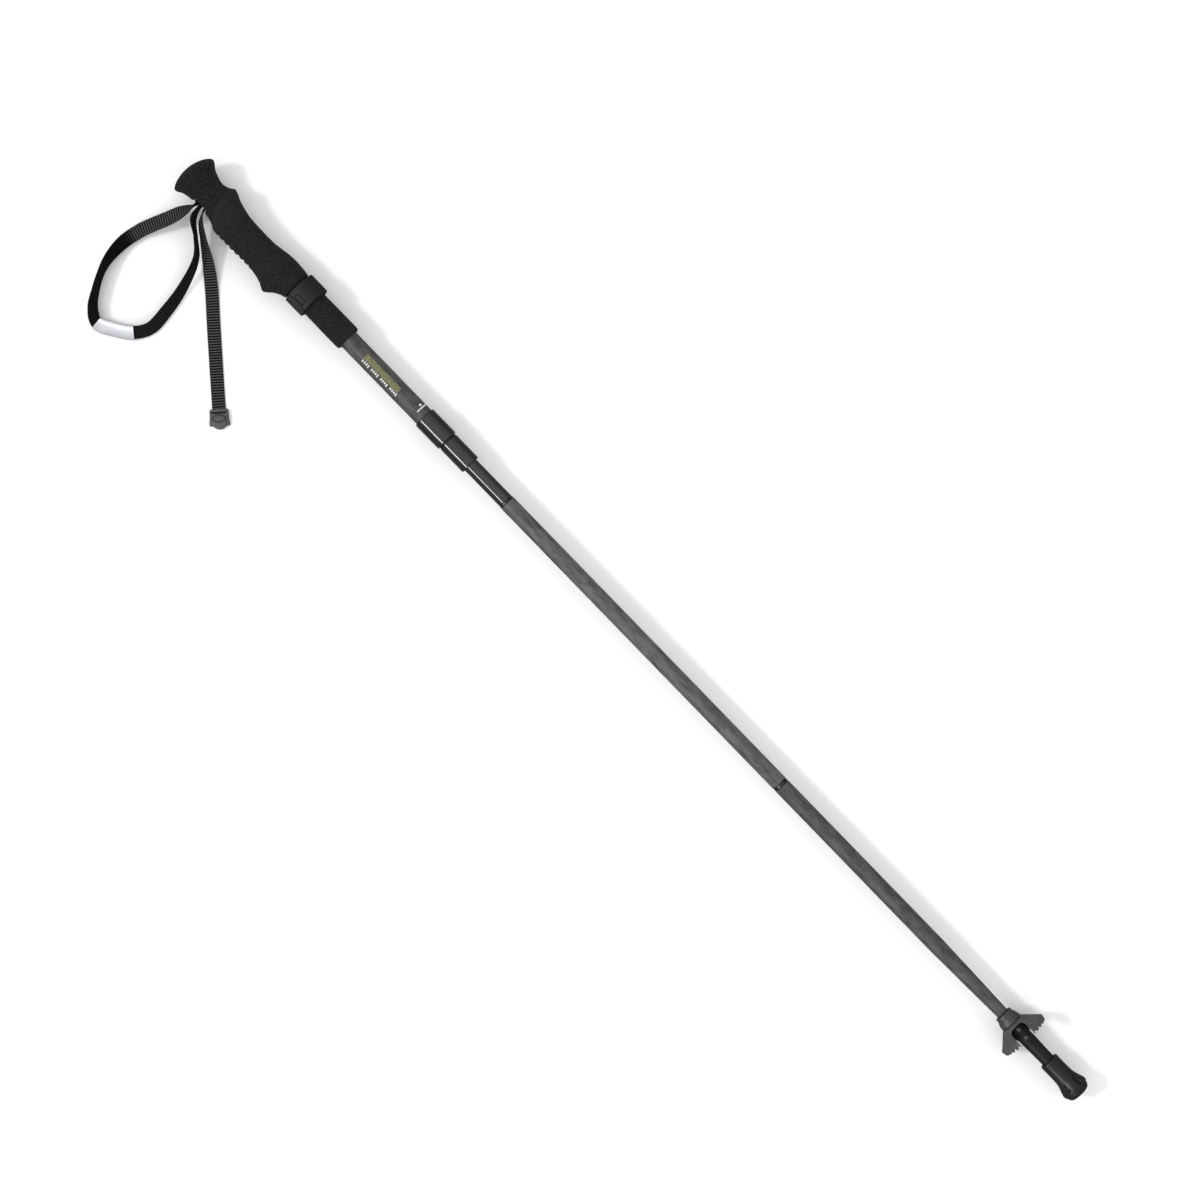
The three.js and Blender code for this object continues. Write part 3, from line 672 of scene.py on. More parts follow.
def grip_ring(x, sides):
    strap_side, far_side = smooth_value(STRAP_SIDE, x), smooth_value(FAR_SIDE, x)
    height = smooth_value(GRIP_HEIGHT, x)
    ring = []
    for angle in full_turn(sides):
        width = strap_side if math.cos(angle) > 0 else far_side
        y, z = width * math.cos(angle), height * math.sin(angle)
        radius = math.hypot(y, z)
        if radius > 1:
            stretch = 1 + grip_relief(x, y) / radius
            y, z = y * stretch, z * stretch
        ring.append(Vector((x, y, z)))
    return ring


def grip_piece():
    start, _, _ = extent("grip_foam")
    sides, body_steps, crown_steps = 128, 176, 14
    crown_from, crown = 1129, STRAP_SIDE[-1][0]
    stations = [start + (crown_from - start) * i / body_steps for i in range(body_steps)]
    for i in range(crown_steps + 1):
        stations.append(crown - (crown - crown_from) * (1 - i / crown_steps) ** 2)
    foam = skin("foam_grip", [grip_ring(x, sides) for x in stations])
    _, tube_top, tube_radius = extent("upper_tube")
    _, core_top, core_radius = extent("grip_core")
    _, wedge_top, _ = extent("strap_wedge")
    bore_radius, pocket_radius = tube_radius + 0.2, core_radius + 0.4
    bore = [(start - 5, bore_radius), (tube_top + 0.3, bore_radius)]
    bore = turned("bore", bore, sides=64, soften=0)
    pocket = [(tube_top, pocket_radius), (core_top + 0.4, pocket_radius)]
    pocket = turned("pocket", pocket, sides=64, soften=0)
    slot = prism("slot", rounded_box(wedge_top - 15.6, wedge_top + 1.2, 0, 26, 2.2), -7.9, 7.9)
    combine(foam, [bore, pocket, slot], "DIFFERENCE")
    foam.data.set_sharp_from_angle(angle=math.radians(50))
    finished(foam, "handle", "foam", "grip_foam")


def rounded_box(x0, x1, y0, y1, radius, steps=5):
    """The outline of a rectangle with round corners."""
    outline = []
    corners = ((x1 - radius, y1 - radius, 0), (x0 + radius, y1 - radius, 90),
               (x0 + radius, y0 + radius, 180), (x1 - radius, y0 + radius, 270))
    for x, y, turn in corners:
        for step in range(steps + 1):
            angle = math.radians(turn + 90 * step / steps)
            outline.append((x + radius * math.cos(angle), y + radius * math.sin(angle)))
    return outline


def foam_sleeve_piece():
    x0, x1, _ = extent("foam_extension")
    bore = extent("upper_tube")[2] + 0.15
    outside = [(x0, 10.6), (x0 + 0.5, 11.7), (x0 + 1.8, 12.35), (x0 + 4, 12.45), (x0 + 20, 12.4), (x1, 12.2)]
    profile = finer(outside, 1.2)

    def soft(x, radius, angle):
        swell = noise.noise(Vector((x * 0.09, 2.0 * math.cos(angle), 2.0 * math.sin(angle))))
        return x, radius + (0.12 * swell if radius > bore + 1 else 0)

    sleeve = turned("foam_sleeve", profile, [(x0, bore), (x1, bore)], soften=0.5, shape=soft)
    finished(sleeve, "handle", "foam", "foam_extension")


# Strap. The routes are the CAD's: (x, y, lift above the floor, tilt in degrees).

LOOP_ROUTE = [
    (1109.4, 3, 24.4, 90), (1110.1, 14, 24.2, 89), (1112.4, 22, 22.6, 54), (1115.8, 30.5, 19.8, 24),
    (1120.2, 41, 14.4, 12), (1125.2, 51.5, 9.6, 10), (1131, 66, 4.8, 10), (1134.2, 84, 4, 20),
    (1132.4, 103, 6.2, 42), (1127.6, 117, 7.8, 56), (1120, 131, 7.8, 54), (1111, 143.5, 7, 44),
    (1099, 150.5, 6.8, 36), (1083.5, 143.5, 6.8, 36), (1069, 132.5, 6.8, 36), (1062, 119.5, 6.2, 40),
    (1063, 99, 6.6, 44), (1067.5, 74, 8.4, 58), (1077.5, 47, 14, 76), (1090.5, 34, 19.5, 84),
    (1103, 24, 23.2, 76), (1105.8, 15, 24.3, 88), (1105.8, 3, 24.4, 90),
]
TAIL_ROUTE = [
    (1101.6, 3, 24.4, 90), (1101.2, 13, 24.3, 86), (1095.6, 22, 22, 66), (1084, 31, 15.6, 56),
    (1069, 41.5, 7.4, 30), (1051, 55.5, 1.9, 4), (1028, 75.5, 1.1, 0), (999, 100.4, 1.1, 0),
    (963, 131, 1.1, 0),
]
LOOP_WIDTH = 13.4
LOOP_THICKNESS = 2.3
TAIL_WIDTH = 12.2
TAIL_THICKNESS = 1.5
RIB_PITCH = 2.42
SLEEVE_SPAN = (0.48, 0.578)
TABLE_STEPS = 1500


def strap_frames(route, step, span=(0, 1)):
    """Frames at even steps along the route: (length so far, centre, across, out)."""
    centres = [Vector((x, y, FLOOR_Z + lift)) for x, y, lift, _ in route]
    tilts = [Vector((tilt, 0, 0)) for _, _, _, tilt in route]
    table = [catmull(centres, i / TABLE_STEPS, 0.25) for i in range(TABLE_STEPS + 1)]
    lengths = [0.0]
    for a, b in zip(table, table[1:]):
        lengths.append(lengths[-1] + (b - a).length)
    first, last = span[0] * lengths[-1], span[1] * lengths[-1]
    count = math.ceil((last - first) / step)
    frames, i = [], 0
    for k in range(count + 1):
        goal = first + (last - first) * k / count
        while i < TABLE_STEPS - 1 and lengths[i + 1] < goal:
            i += 1
        part = (goal - lengths[i]) / (lengths[i + 1] - lengths[i])
        share = (i + part) / TABLE_STEPS
        along = (table[i + 1] - table[i]).normalized()
        level = Vector((-along.y, along.x, 0)).normalized()
        upright = along.cross(level)
        tilt = math.radians(catmull(tilts, share, 0).x)
        across = level * math.cos(tilt) + upright * math.sin(tilt)
        frames.append((goal, table[i].lerp(table[i + 1], part), across, along.cross(across)))
    return frames


def strap_section(width, thickness, corner=0.32):
    """Offsets (across, out) round a flat strap with soft edges."""
    section = []
    for angle in full_turn(24):
        c, s = math.cos(angle), math.sin(angle)
        wide = math.copysign(abs(c) ** corner, c) * width / 2
        section.append((wide, math.copysign(abs(s) ** 0.7, s) * thickness / 2))
    return section


def webbing(name, route, width, thickness, depth_at):
    """Ribbed webbing, with a rib value at each point that paints light on the crests and shade in the
    valleys. depth_at gives the ribs' depth on the out side at a share of the length.
    """
    rings, ribs, places = [], [], []
    frames = strap_frames(route, RIB_PITCH / 8)
    total = frames[-1][0]
    for length, centre, across, out in frames:
        wave = abs(math.cos(math.pi * length / RIB_PITCH)) ** 1.6
        depth, rolled = depth_at(length / total)
        ring, rib, place = [], [], []
        for wide, high in strap_section(width - 0.12 * (1 - wave), thickness):
            edge = abs(2 * wide / width)
            level = high * (1 - (1 - wave) * depth) if high > 0 else high * (1 - (1 - wave) * 0.2)
            roll = rolled * smoothstep(edge, 0.5, 0.85) if high > 0 else 0
            ring.append(centre + across * wide + out * (level + roll))
            # Painted light and shade for each point: high on the crests of deep ribs, low in the valleys, on
            # the smooth lining and on the underside.
            crest_light_strength = min(1, depth / 0.28) if high > 0 else 0.5
            rib.append(0.16 + 0.84 * wave * crest_light_strength if abs(high) > 0.1 else 0.2)
            place.append(wide)
        rings.append(ring)
        ribs.append(rib)
        places.append(place)
    return skin(name, rings, values={"rib": ribs, "across": places})


def loop_depth(share):
    """Full ribs from the grip, a smooth rolled lining round the far side, then shallow ribs again."""
    lining = smoothstep(share, 0.2, 0.26) * (1 - smoothstep(share, 0.56, 0.6))
    # The shallow depth on the lining also leaves it with the near-black painted shade of the valleys.
    depth = 0.34 * (1 - 0.85 * lining) * (1 - 0.45 * smoothstep(share, 0.56, 0.6))
    return depth, 0.55 * lining


def sleeve_piece():
    frames = strap_frames(LOOP_ROUTE, 1.0, SLEEVE_SPAN)
    rings, inner = [], []
    total = frames[-1][0] - frames[0][0]
    for length, centre, across, out in frames:
        share = (length - frames[0][0]) / total
        wrinkle = 0.16 * noise.noise(Vector((length * 0.16, 3.1, 0)))
        flare = 0.25 * (smoothstep(share, 0.93, 1) + 1 - smoothstep(share, 0, 0.07))
        outer = strap_section(LOOP_WIDTH + 1.6 + flare, LOOP_THICKNESS + 2.3 + wrinkle + flare, corner=0.55)
        bore = strap_section(LOOP_WIDTH + 0.6 + flare, LOOP_THICKNESS + 1.5 + wrinkle + flare, corner=0.55)
        rings.append([centre + across * w + out * h for w, h in outer])
        inner.append([centre + across * w + out * h for w, h in bore])
    sleeve = skin("silver_sleeve", rings + inner[::-1], closed=True)
    finished(sleeve, "handle", "silver_sleeve", "strap_sleeve")


def ellipse(x, half_length, half_width, steps=40, first=0, last=360):
    """Points of an ellipse, or of an arc of it, centred on the buckle's middle line."""
    angles = [math.radians(first + (last - first) * k / steps) for k in range(steps)]
    return [(x + half_length * math.cos(a), half_width * math.sin(a)) for a in angles]


def lens(x, half_length, half_width, steps=14):
    """An eye shape across the buckle."""
    spread = [-1 + 2 * k / steps for k in range(steps + 1)]
    return [(x + half_length * (1 - t * t), half_width * t) for t in spread] + [
        (x - half_length * (1 - t * t), half_width * t) for t in reversed(spread[1:-1])]


def end_buckle_piece():
    """The moulded stop at the tail's end: a mouth bar, two ears, a round tongue and an eye-shaped rib."""
    low = FLOOR_Z
    side = [(0.3, -8.3), (9.5, -8.7), (12.4, -9.1), (14.6, -9.1), (15.1, -8.4), (14.9, -6.9)]
    nose = ellipse(10.6, 7.6, 7.2, 14, -62, 62)
    plate = prism("end_buckle", side + nose + [(x, -y) for x, y in reversed(side)], low, low + 3.5, bevel=0.5)
    bar = prism("bar", rounded_box(0.1, 2.3, -8.2, 8.2, 0.9), low + 2.0, low + 4.6, bevel=0.45)
    tongue = prism("tongue", ellipse(11.0, 6.7, 6.4), low + 2.0, low + 4.3, bevel=0.7, segments=3)
    combine(plate, [bar, tongue], "UNION")
    half = TAIL_WIDTH / 2 + 0.3
    mouth = prism("mouth", [(-1, -half), (9, -half), (9, half), (-1, half)], low + 0.2, low + 2.1)
    gap = prism("gap", rounded_box(2.5, 4.2, -6.9, 6.9, 0.6), low - 1, low + 7)
    moat = prism("moat", lens(8.4, 3.7, 7.6), low + 2.5, low + 7)
    combine(plate, [mouth, gap, moat], "DIFFERENCE")
    combine(plate, [prism("rib", lens(8.4, 2.7, 6.0), low + 2.3, low + 4.4, bevel=0.3, segments=3)], "UNION")
    from_point, to_point = (Vector(p[:2]) for p in TAIL_ROUTE[-2:])
    heading = (to_point - from_point).normalized()
    start = to_point - heading * 7
    turn = Matrix.Rotation(math.atan2(heading.y, heading.x), 4, "Z")
    plate.data.transform(Matrix.Translation(Vector((*start, 0)) * MM) @ turn)
    finished(plate, "handle", "grey_plastic", "strap_end_stop")


def strap_pieces():
    loop = webbing("loop_webbing", LOOP_ROUTE, LOOP_WIDTH, LOOP_THICKNESS, loop_depth)
    finished(loop, "handle", "webbing", "wrist_strap_loop")
    tail = webbing("tail_webbing", TAIL_ROUTE, TAIL_WIDTH, TAIL_THICKNESS, lambda share: (0.42, 0))
    finished(tail, "handle", "webbing", "strap_tail")
    sleeve_piece()
    end_buckle_piece()


# Strap keeper: a rubber band and a hinged tongue round the foam.

KEEPER_BAND_END = 402
KEEPER_HINGE = 130
KEEPER_EDGE_BOW = 7
KEEPER_BORE = 14.3


def band(name, x0, x1, outer, bore, start, end, relief=None, fillet=0.7):
    """Part of a ring. fillet rounds its rims, start and end give the angle in degrees at a share of the
    width, and relief lowers the outer face at a share of the width and an angle."""
    lip = 0.3
    span = abs(end(0.5) - start(0.5))
    across, steps = 72, max(24, round(span * 1.3))
    middle = Vector(((x0 + x1) / 2, (outer + bore) / 2))
    half = Vector(((x1 - x0) / 2, (outer - bore) / 2))
    arc = outer * math.radians(span)
    section = [(x0 + (x1 - x0) * k / across, outer) for k in range(across + 1)]
    section = [(x0, (outer + bore) / 2), *section, (x1, (outer + bore) / 2), (x1, bore)]
    section += [(x1 + (x0 - x1) * k / 6, bore) for k in range(1, 7)]
    rings = []
    for i in range(steps + 1):
        share = i / steps
        near = min(share, 1 - share) * arc
        round_end = lip * (1 - math.sqrt(max(0, 1 - max(0, 1 - near / lip) ** 2)))
        ring = []
        for x, radius in section:
            width_share = (x - x0) / (x1 - x0)
            angle = start(width_share) + (end(width_share) - start(width_share)) * share
            side = max(0, 1 - min(x - x0, x1 - x) / fillet)
            round_side = fillet * (1 - math.sqrt(max(0, 1 - side ** 2)))
            lowered = round_end + round_side * 0.8
            if radius > middle.y and relief:
                lowered += relief(width_share, angle)
            depth = min(lowered, half.y * 0.9) if radius > middle.y else 0
            ring.append(about_pole(x, radius - depth, math.radians(angle)))
        rings.append(ring)
    return skin(name, rings)


# The rectangle's ends as shares of the band's width, its sides in degrees, and the band that it is on.
WINDOW_X = (0.24, 0.72)
WINDOW_ANGLE = (375.5, 391.5)
WINDOW_BAND_RADIUS = 16.4
WINDOW_BAND_WIDTH = 20
GROOVE_DEPTH = 0.75
GROOVE_EDGE = (0.22, 0.6)


def window_groove(width_share, angle):
    """A narrow moulded groove that outlines a rectangle near the band's free end."""
    cx, cy = sum(WINDOW_X) / 2, sum(WINDOW_ANGLE) / 2
    dx = (abs(width_share - cx) - (WINDOW_X[1] - WINDOW_X[0]) / 2) * WINDOW_BAND_WIDTH
    turn = abs(angle - cy) - (WINDOW_ANGLE[1] - WINDOW_ANGLE[0]) / 2
    dy = turn * math.radians(1) * WINDOW_BAND_RADIUS
    return GROOVE_DEPTH * (1 - smoothstep(abs(max(dx, dy)), *GROOVE_EDGE))


def keeper_pieces():
    x0, x1, outer = extent("keeper_band")

    def bowed(width_share):
        return KEEPER_BAND_END - KEEPER_EDGE_BOW * (1 - (2 * width_share - 1) ** 2)

    strap_band = band(
        "keeper_ring", x0, x1, outer, KEEPER_BORE, lambda w: KEEPER_HINGE + 9, bowed, window_groove)
    rib = band("rib", x0 + 7, x0 + 13, KEEPER_BORE + 0.6, 12.8, lambda w: 145, lambda w: 396, fillet=0.3)
    hinge = about_pole(0, 14.6, math.radians(KEEPER_HINGE))
    knuckles = [barrel("knuckle", x, x + 5, 2.3, hinge) for x in (x0, x1 - 5)]
    combine(strap_band, [rib, *knuckles], "UNION")
    combine(strap_band, [
        barrel("room", x0 + 5, x1 - 5, 2.6, hinge),
        barrel("hole", x0 - 1, x1 + 1, 1.0, hinge),
    ], "DIFFERENCE")
    finished(strap_band, "handle", "keeper_rubber", "keeper_band")
    tongue = band("keeper_tongue", x0, x1, outer - 0.5, KEEPER_BORE,
                  lambda w: bowed(w) - 360 + 4, lambda w: KEEPER_HINGE - 8)
    combine(tongue, [barrel("barrel", x0 + 5.3, x1 - 5.3, 2.3, hinge)], "UNION")
    combine(tongue, [
        barrel("room", x0 - 1, x0 + 5.3, 2.9, hinge),
        barrel("room", x1 - 5.3, x1 + 1, 2.9, hinge),
        barrel("hole", x0 - 1, x1 + 1, 1.15, hinge),
    ], "DIFFERENCE")
    finished(tongue, "keeper_buckle", "keeper_plastic", "keeper_latch")


def barrel(name, x0, x1, radius, centre):
    piece = turned(name, [(x0, radius), (x1, radius)], sides=32, soften=0.2)
    piece.data.transform(Matrix.Translation(centre * MM))
    return piece


# Tubes, twist lock and joints.

TUBE_WALL = 1


def straight_tube(name, node, sides=96):
    x0, x1, radius = extent(node)
    bore = radius - TUBE_WALL
    return turned(name, [(x0, radius), (x1, radius)], [(x0, bore), (x1, bore)], sides, 0.2)


def lock_pieces():
    x0, x1, radius = extent("upper_collar")
    step = x1 - 29
    collar = turned(
        "gloss_collar",
        [(x0, 8.4), (step, 8.4), (step, radius - 0.5), (step + 0.5, radius), (x1 - 0.8, radius),
         (x1, radius - 0.6)],
        [(x0, 7.45), (x0 + 20, 7.45), (x0 + 20, 9.1), (x1, 9.1)], 128, 0.15)
    finished(collar, "handle", "gloss_black", "upper_collar")
    x0, x1, radius = extent("lock_seal")
    finished(turned("seal_ring", [(x0, radius), (x1, radius)], [(x0, 8.5), (x1, 8.5)], soften=0.25),
             "handle", "keeper_rubber", "lock_seal")
    x0, x1, radius = extent("lock_nut")
    nut = turned(
        "twist_nut",
        [(x0, 8.6), (x0 + 0.6, radius), (x1 - 0.5, radius), (x1, radius - 0.5)],
        [(x0, 7.4), (x0 + 3.4, 7.4), (x0 + 5, 8.0), (x0 + 14.6, 8.7), (x1, 8.7)], 128, 0.15)
    finished(nut, "twist_lock", "gloss_black", "lock_nut")


BUTTON_X = 752
LEAF_STEPS = 36
LEAF_HALF_WIDTH = 1.9
LEAF_HALF_THICKNESS = 0.18
LEAF_SLOPE = (8, 28)
LEAF_HEIGHTS = (-3.6, -5.2)


def rod_pieces():
    tube = straight_tube("gloss_rod", "telescoping_rod", 128)
    combine(tube, [upright_pin("hole", 2.65, -12, -3)], "DIFFERENCE")
    tube.data.set_sharp_from_angle(angle=math.radians(30))
    finished(tube, "inner_rod", "gloss_rod", "telescoping_rod")
    low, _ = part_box("snap_button")
    button = upright_pin("press_button", 2.4, low.z / MM, -4, dome=0.9)
    combine(button, [upright_pin("foot", 3.0, -5.1, -4)], "UNION")
    finished(button, "button", "steel", "snap_button")


def button_spring_piece():
    """The leaf spring behind the button, with the slope of the leaf between its free end and the end on the
    rod's wall."""
    x0, x1, _ = extent("button_spring")
    free_x, held_x = (x0 + reach for reach in LEAF_SLOPE)
    free_z, held_z = LEAF_HEIGHTS
    rings = []
    for i in range(LEAF_STEPS + 1):
        x = x0 + (x1 - x0) * i / LEAF_STEPS
        z = free_z + (held_z - free_z) * smoothstep(x, free_x, held_x)
        rings.append([Vector((x, y * LEAF_HALF_WIDTH, z + up * LEAF_HALF_THICKNESS)) for y, up in SQUARE])
    leaf = skin("button_leaf", rings)
    bent(leaf, "steel", ("button_spring",), ("button", "inner_rod"), free_x, held_x)


def upright_pin(name, radius, low, high, dome=0.0):
    """A round pin along Z at the button's place, with a domed lower end."""
    profile = [(0, radius * 0.55), (dome * 0.25, radius * 0.8), (dome, radius)] if dome else [(0, radius)]
    piece = turned(name, [*profile, (high - low, radius)], sides=48, soften=0.15)
    stand = Matrix.Translation(Vector((BUTTON_X, 0, low)) * MM) @ Matrix.Rotation(-math.pi / 2, 4, "Y")
    piece.data.transform(stand)
    return piece


# Profiles of (distance from the joint's face, radius): the spigot, and each joint's bead ring.
SPIGOT = [(-16, 3.6), (-15, 4.1), (-12, 4.7), (-8, 5.15), (-4, 5.6), (-2, 5.9), (0, 6.2)]
UPPER_BEAD = [(0, 7.1), (0.5, 7.45), (1.5, 7.45), (2, 7.1), (2, 6.05)]
LOWER_BEAD = [(0, 7.0), (0.4, 7.4), (1.3, 7.4), (1.6, 7.2), (1.9, 7.4), (2.8, 7.4), (3.2, 7.1), (3.2, 6.4)]
FERRULE_BORE = 2.6


def ferrule_piece(name, node, body, bead):
    """A joint's bead ring with its stub, and the tapered spigot that centres the next tube."""
    x0, x1, _ = extent(node)
    face = x0 - SPIGOT[0][0]
    outside = [(face + x, radius) for x, radius in SPIGOT + bead] + [(x1, bead[-1][1])]
    joint = turned(name, outside, [(x0, FERRULE_BORE), (x1, FERRULE_BORE)], soften=0.2)
    finished(joint, body, "black_alloy", node)


def lower_tube_piece():
    x0, x1, radius = extent("lower_tube")
    taper = [(x0, 5.6), (x0 + 31, 6.4), (x0 + 61, 7.0), (x0 + 87, radius), (x1, radius)]
    steps = [x0 + k * 4 for k in range(23)]
    outside = [(x, smooth_value(taper, x)) for x in steps] + [(x1, radius)]
    inside = [(x, r - TUBE_WALL) for x, r in taper]
    tube = turned("lower_carbon_tube", outside, inside, soften=0.2)
    finished(tube, "lower_section", "carbon", "lower_tube")


CORD_SIDES = 16
CORD_STEP = 0.6


def cord_piece(name, nodes, bodies, crossing):
    """The tension cord through a joint, a straight braided cord along the pole."""
    x0 = min(extent(node)[0] for node in nodes)
    x1 = max(extent(node)[1] for node in nodes)
    radius = extent(nodes[0])[2]
    count = math.ceil((x1 - x0) / CORD_STEP)
    rings = []
    for i in range(count + 1):
        x = x0 + (x1 - x0) * i / count
        ring = []
        for angle in full_turn(CORD_SIDES):
            strand = 0.07 * math.sin(4 * angle + x * 1.4) * math.sin(4 * angle - x * 1.4)
            ring.append(about_pole(x, radius - 0.07 + strand, angle))
        rings.append(ring)
    bent(skin(name, rings), "cord", nodes, bodies, *crossing)


# Printed marks on the upper tube.

def patch(name, x0, x1, degrees, radius, finish):
    """A thin printed patch round part of the tube, between two angles from +Z towards +Y."""
    first, last = (math.radians(d) for d in degrees)
    steps = max(2, math.ceil(abs(last - first) / 0.06))
    rings = []
    for x in (x0, x1):
        ring = [about_pole(x, radius + 0.035, first + (last - first) * k / steps) for k in range(steps + 1)]
        ring += [about_pole(x, radius - 0.02, last + (first - last) * k / steps) for k in range(steps + 1)]
        rings.append(ring)
    return finished(skin(name, rings), "handle", "carbon", finish=finish)


def joined(name, pieces):
    """Several small pieces as one."""
    bpy.ops.object.select_all(action="DESELECT")
    for piece in pieces:
        piece.select_set(True)
    bpy.context.view_layer.objects.active = pieces[0]
    bpy.ops.object.join()
    pieces[0].name = name
    return pieces[0]


TICKS = 16
TICKS_IN_GROUP = 4
TICKS_START = 864.6
TICK_PITCH = 2.35
TICK_WIDTH = 1.25
TICK_GROUP_GAP = 2.2
TICK_FROM_DEG = 20
TICK_TO_DEG = 35
LONG_TICK_TO_DEG = 40


def printed_marks():
    radius = extent("upper_tube")[2]
    patch("olive_panel", 865.5, 908.5, (-21, 15), radius, olive_print)
    ticks = []
    x = TICKS_START
    for k in range(TICKS):
        top = TICK_TO_DEG if k % TICKS_IN_GROUP else LONG_TICK_TO_DEG
        ticks.append(patch(f"tick_{k}", x, x + TICK_WIDTH, (TICK_FROM_DEG, top), radius, white_print))
        x += TICK_PITCH if (k + 1) % TICKS_IN_GROUP else TICK_PITCH + TICK_GROUP_GAP
    joined("scale_ticks", ticks)
    patch("stop_line", 840.4, 841.5, (-74, 8), radius, white_print)
    patch("stop_arrow", 842.8, 844.6, (-42, -27), radius, white_print)


# Foot.

RIM_TEETH = 28
TOOTH_DEPTH = 2.1
NEST_HALF_WIDTH = 8.2
NEST_FLOOR_Z = 7.3
NEST_START_X = 60
NEST_END_X = 84.4
NEST_CORNER = 5.2


def basket_piece():
    """A cone with a short notched rim, and a gap in its top that the folded pole nests in."""
    rim_x, hub_x, _ = extent("basket")
    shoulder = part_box("basket")[1].y / MM
    outer = [(hub_x, 9.4), (hub_x - 0.2, 10.9), (hub_x - 0.5, 11.3), (rim_x + 4.5, shoulder - 0.1),
             (rim_x + 3.6, shoulder), (rim_x + 2.9, shoulder - 0.35), (rim_x, 23.6)]
    inner = [(rim_x, 22.3), (rim_x + 3.4, 22.4), (hub_x - 3.6, 11.8), (hub_x - 3.6, 7.1), (hub_x, 7.1)]
    rim_from = rim_x + 2.8

    def toothed(x, radius, angle):
        depth = 1 - smoothstep(x, rim_x, rim_from)
        gap = 1 - smoothstep(abs(math.sin(RIM_TEETH * angle / 2)), 0.35, 0.95)
        return x + TOOTH_DEPTH * gap * depth, radius

    outside = finer(outer, 0.5)
    skirt = turned("mud_basket", outside, finer(inner, 0.9)[::-1], RIM_TEETH * 12, 0.25, toothed)
    steps = [math.radians(90 * k / 8) for k in range(9)]
    end_x, end_y = NEST_END_X - NEST_CORNER, NEST_HALF_WIDTH - NEST_CORNER
    side = [(end_x + NEST_CORNER * math.cos(a), end_y + NEST_CORNER * math.sin(a)) for a in steps]
    side.append((NEST_START_X, NEST_HALF_WIDTH))
    nest = prism("nest", [(x, -y) for x, y in reversed(side)] + side, NEST_FLOOR_Z, 40)
    combine(skirt, [nest], "DIFFERENCE")
    finished(skirt, "lower_section", "basket_plastic", "basket")


def basket_nut_piece():
    x0, x1, radius = extent("basket_nut")
    outside = [(x0, radius - 0.5), (x0 + 0.5, radius), (x0 + 2.6, radius), (x0 + 4.6, radius - 0.5),
               (x0 + 6.4, 9.1), (x0 + 7.2, 8.75), (x0 + 7.5, 8.35), (x1 - 0.4, 8.2), (x1, 7.8)]
    inside = [(x0, 7.05), (x0 + 6.5, 7.05), (x0 + 6.5, 5.75), (x1, 5.75)]
    nut = turned("basket_nut_ring", outside, inside, 128)
    finished(nut, "lower_section", "basket_plastic", "basket_nut", finish=finishes["nut_plastic"])


KEY_X = 68
KEY_LENGTH = 14.5
KEY_HALF_WIDTH = 2.3
PAD_PLACES = (0.6, 10.2)
PAD_LENGTH = 3.2
PAD_HALF_WIDTH = 1.6


def tip_shaft_piece():
    x0, x1, _ = extent("tip_shaft")
    nut_end = extent("basket_nut")[1]
    outside = [(x0, 5.2), (x0 + 0.6, 5.7), (x0 + 4, 6.0), (x0 + 44, 6.85), (72, 6.85), (72, 7.9),
               (83, 7.9), (83, 6.85), (nut_end - 5, 6.85), (nut_end - 5, 4.9),
               (nut_end + 0.6, 4.5), (x1, 4.5)]
    shaft = turned("tip_shaft_body", outside, sides=96)
    top = extent("tip_shaft")[2]
    outline = rounded_box(KEY_X, KEY_X + KEY_LENGTH, -KEY_HALF_WIDTH, KEY_HALF_WIDTH, 0.5)
    key = prism("key", outline, 5.5, top - 0.9, bevel=0.3)
    pads = []
    for x in (KEY_X + place for place in PAD_PLACES):
        outline = rounded_box(x, x + PAD_LENGTH, -PAD_HALF_WIDTH, PAD_HALF_WIDTH, 0.4)
        pads.append(prism("pad", outline, 6, top, bevel=0.35))
    combine(shaft, [key], "UNION")
    finished(joined("key_pads", pads), "lower_section", "basket_plastic")
    bore = turned("bore", [(x0 - 1, 3.1), (x0 + 8, 3.1)], sides=48, soften=0)
    combine(shaft, [bore], "DIFFERENCE")
    finished(shaft, "lower_section", "shaft_plastic", "tip_shaft")
    x0, x1, radius = extent("carbide_tip")
    crown = [(x0 + 1.1, 0.4), (x0 + 0.2, 1.3), (x0, 1.8), (x0 + 0.5, 2.1), (x0 + 2.4, 2.6),
             (x0 + 9, radius), (x1, radius)]
    finished(turned("carbide_point", crown, sides=64, soften=0.15), "lower_section", "carbide", "carbide_tip")


LUGS = 6
LUG_RADIUS = 1.15
LUG_HEIGHT = 1.3
HOLLOW_X = 10.2
HOLLOW_HALF_WIDTH = 2.3
HOLLOW_DEPTH = 1.9


def lug_relief(x, radius, angle):
    """Six teardrop hollows round the flare, each with a round lug at its wide end. x runs from the sole."""
    step = 2 * math.pi / LUGS
    v = ((angle + step) % step - step / 2) * radius
    u = x - HOLLOW_X
    if u > 0:
        width = HOLLOW_HALF_WIDTH * (1 - smoothstep(u, -1, 9))
    else:
        width = math.sqrt(max(0.01, HOLLOW_HALF_WIDTH ** 2 - min(u * u, HOLLOW_HALF_WIDTH ** 2)))
    hollow = HOLLOW_DEPTH * (1 - smoothstep(abs(v) / max(width, 0.15), 0.72, 1.02))
    hollow *= (1 - smoothstep(u, 4, 9.5)) * (1 - smoothstep(-u, 1.9, 2.6))
    lug = LUG_HEIGHT * math.sqrt(max(0, 1 - (math.hypot(u + 0.2, v) / LUG_RADIUS) ** 2))
    return hollow - min(lug, hollow)


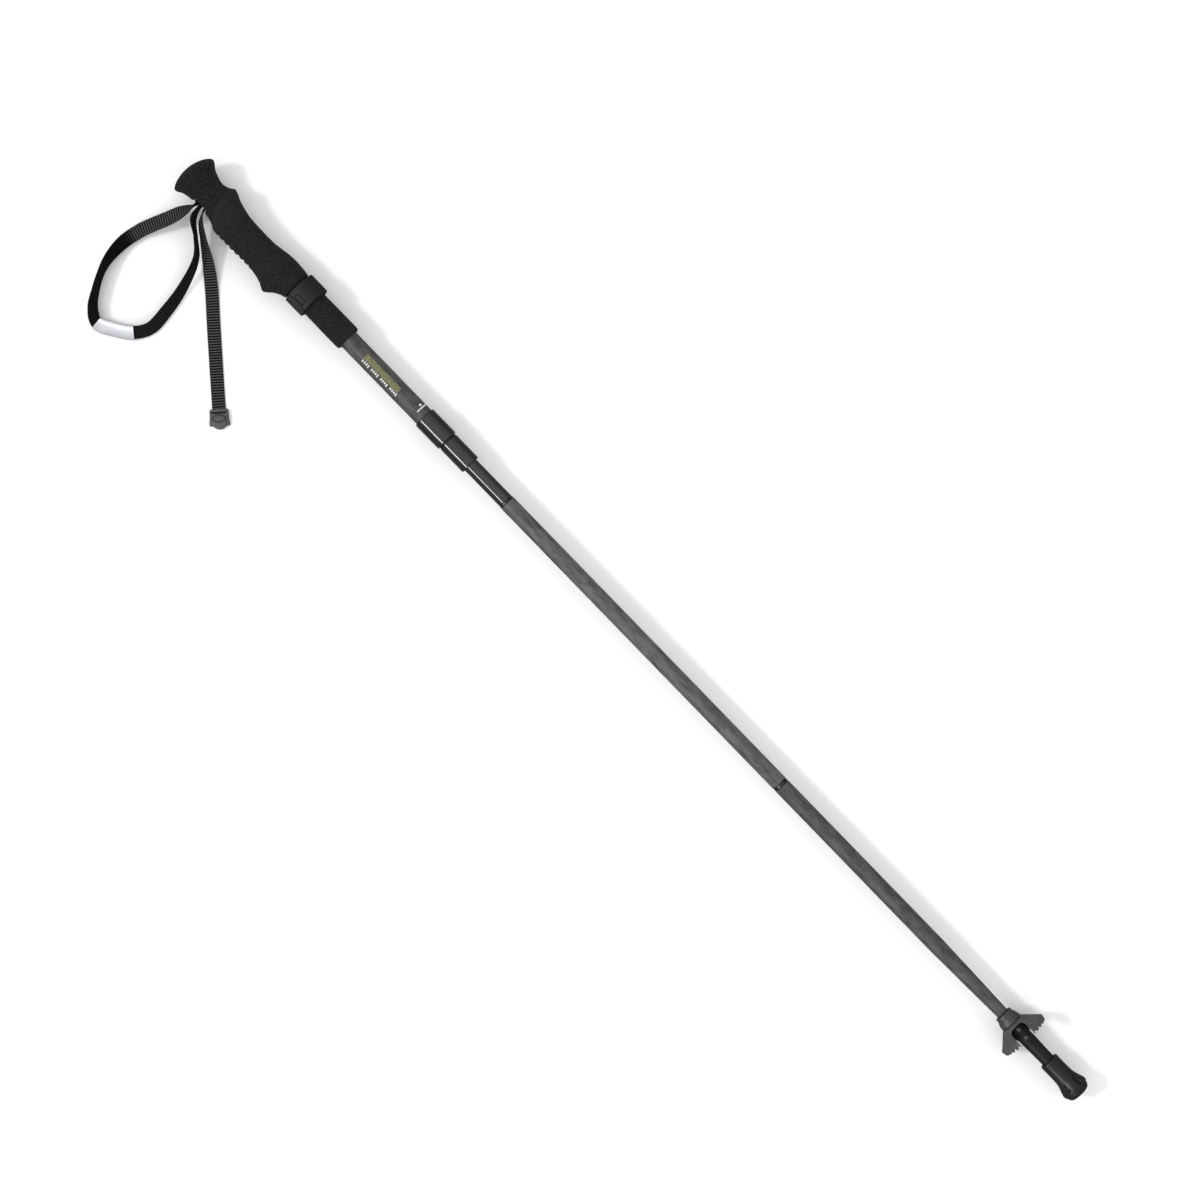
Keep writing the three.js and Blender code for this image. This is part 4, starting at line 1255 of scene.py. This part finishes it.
RUBBER_SIDES = 216
RUBBER_OUTSIDE = [
    (0, 8.0), (0.5, 9.3), (1.6, 10.4), (3.2, 11.3), (4.4, 11.7), (5.0, 11.5), (5.6, 12.4), (6.6, 12.75),
    (8.6, 12.75), (9.4, 12.5), (11.5, 11.85), (14, 10.85), (17, 9.85), (20, 9.25), (24, 9.0), (37, 8.95),
    (37.6, 9.1), (39, 9.15), (40, 8.9),
]


def rubber_tip_piece():
    x0, x1, _ = extent("rubber_tip")
    outside = [(x0 + x, radius) for x, radius in RUBBER_OUTSIDE] + [(x1, 8.4)]
    inside = [(x1, 6.7), (x0 + 26, 6.3), (x0 + 21, 6.0), (x0 + 11.4, 6.0), (x0 + 11.4, 5.0), (x0 + 8.4, 5.0),
              (x0 + 8.4, 0.0)]
    profile = softened([(x0, 0), *finer(outside, 0.4), *inside], 0.3, False)
    rings = []
    for x, radius in profile:
        ring = []
        outer = radius > 7.2 and x > x0 + 5.5 or radius > 8.5
        for angle in full_turn(RUBBER_SIDES):
            sunk = lug_relief(x - x0, radius, angle) if outer and 5 < x - x0 < 22 else 0
            ring.append(about_pole(x, radius - sunk, angle))
        rings.append(ring)
    finished(skin("rubber_foot", rings), "tip_cover", "tip_rubber", "rubber_tip")


make_camera()
make_studio()
make_floor(floor_finish())

grip_piece()
foam_sleeve_piece()
strap_pieces()
keeper_pieces()
finished(straight_tube("handle_carbon_tube", "upper_tube"), "handle", "carbon", "upper_tube")
lock_pieces()
rod_pieces()
button_spring_piece()
ferrule_piece("upper_joint", "upper_ferrule", "inner_rod", UPPER_BEAD)
ferrule_piece("lower_joint", "lower_ferrule", "middle_section", LOWER_BEAD)
finished(straight_tube("middle_carbon_tube", "middle_tube"), "middle_section", "carbon", "middle_tube",
         finish=middle_carbon)
lower_tube_piece()
cord_piece("upper_tension_cord", ("tension_cord_middle", "tension_cord_upper"),
           ("upper_link", "middle_section"), (739, 709))
cord_piece("lower_tension_cord", ("tension_cord_lower", "tension_cord_link"),
           ("lower_link", "lower_section"), (390, 360))
printed_marks()
basket_piece()
basket_nut_piece()
tip_shaft_piece()
rubber_tip_piece()

for slot, nodes in {
    "grip_plastic": ("grip_core", "strap_wedge", "lock_collet", "rod_bush", "cord_slider"),
    "steel": ("strap_pin", "keeper_pin", "cord_spring", "tip_washer"),
    "black_alloy": ("cord_anchor", "cord_stop"),
}.items():
    for node in nodes:
        carried_over(node, slot)
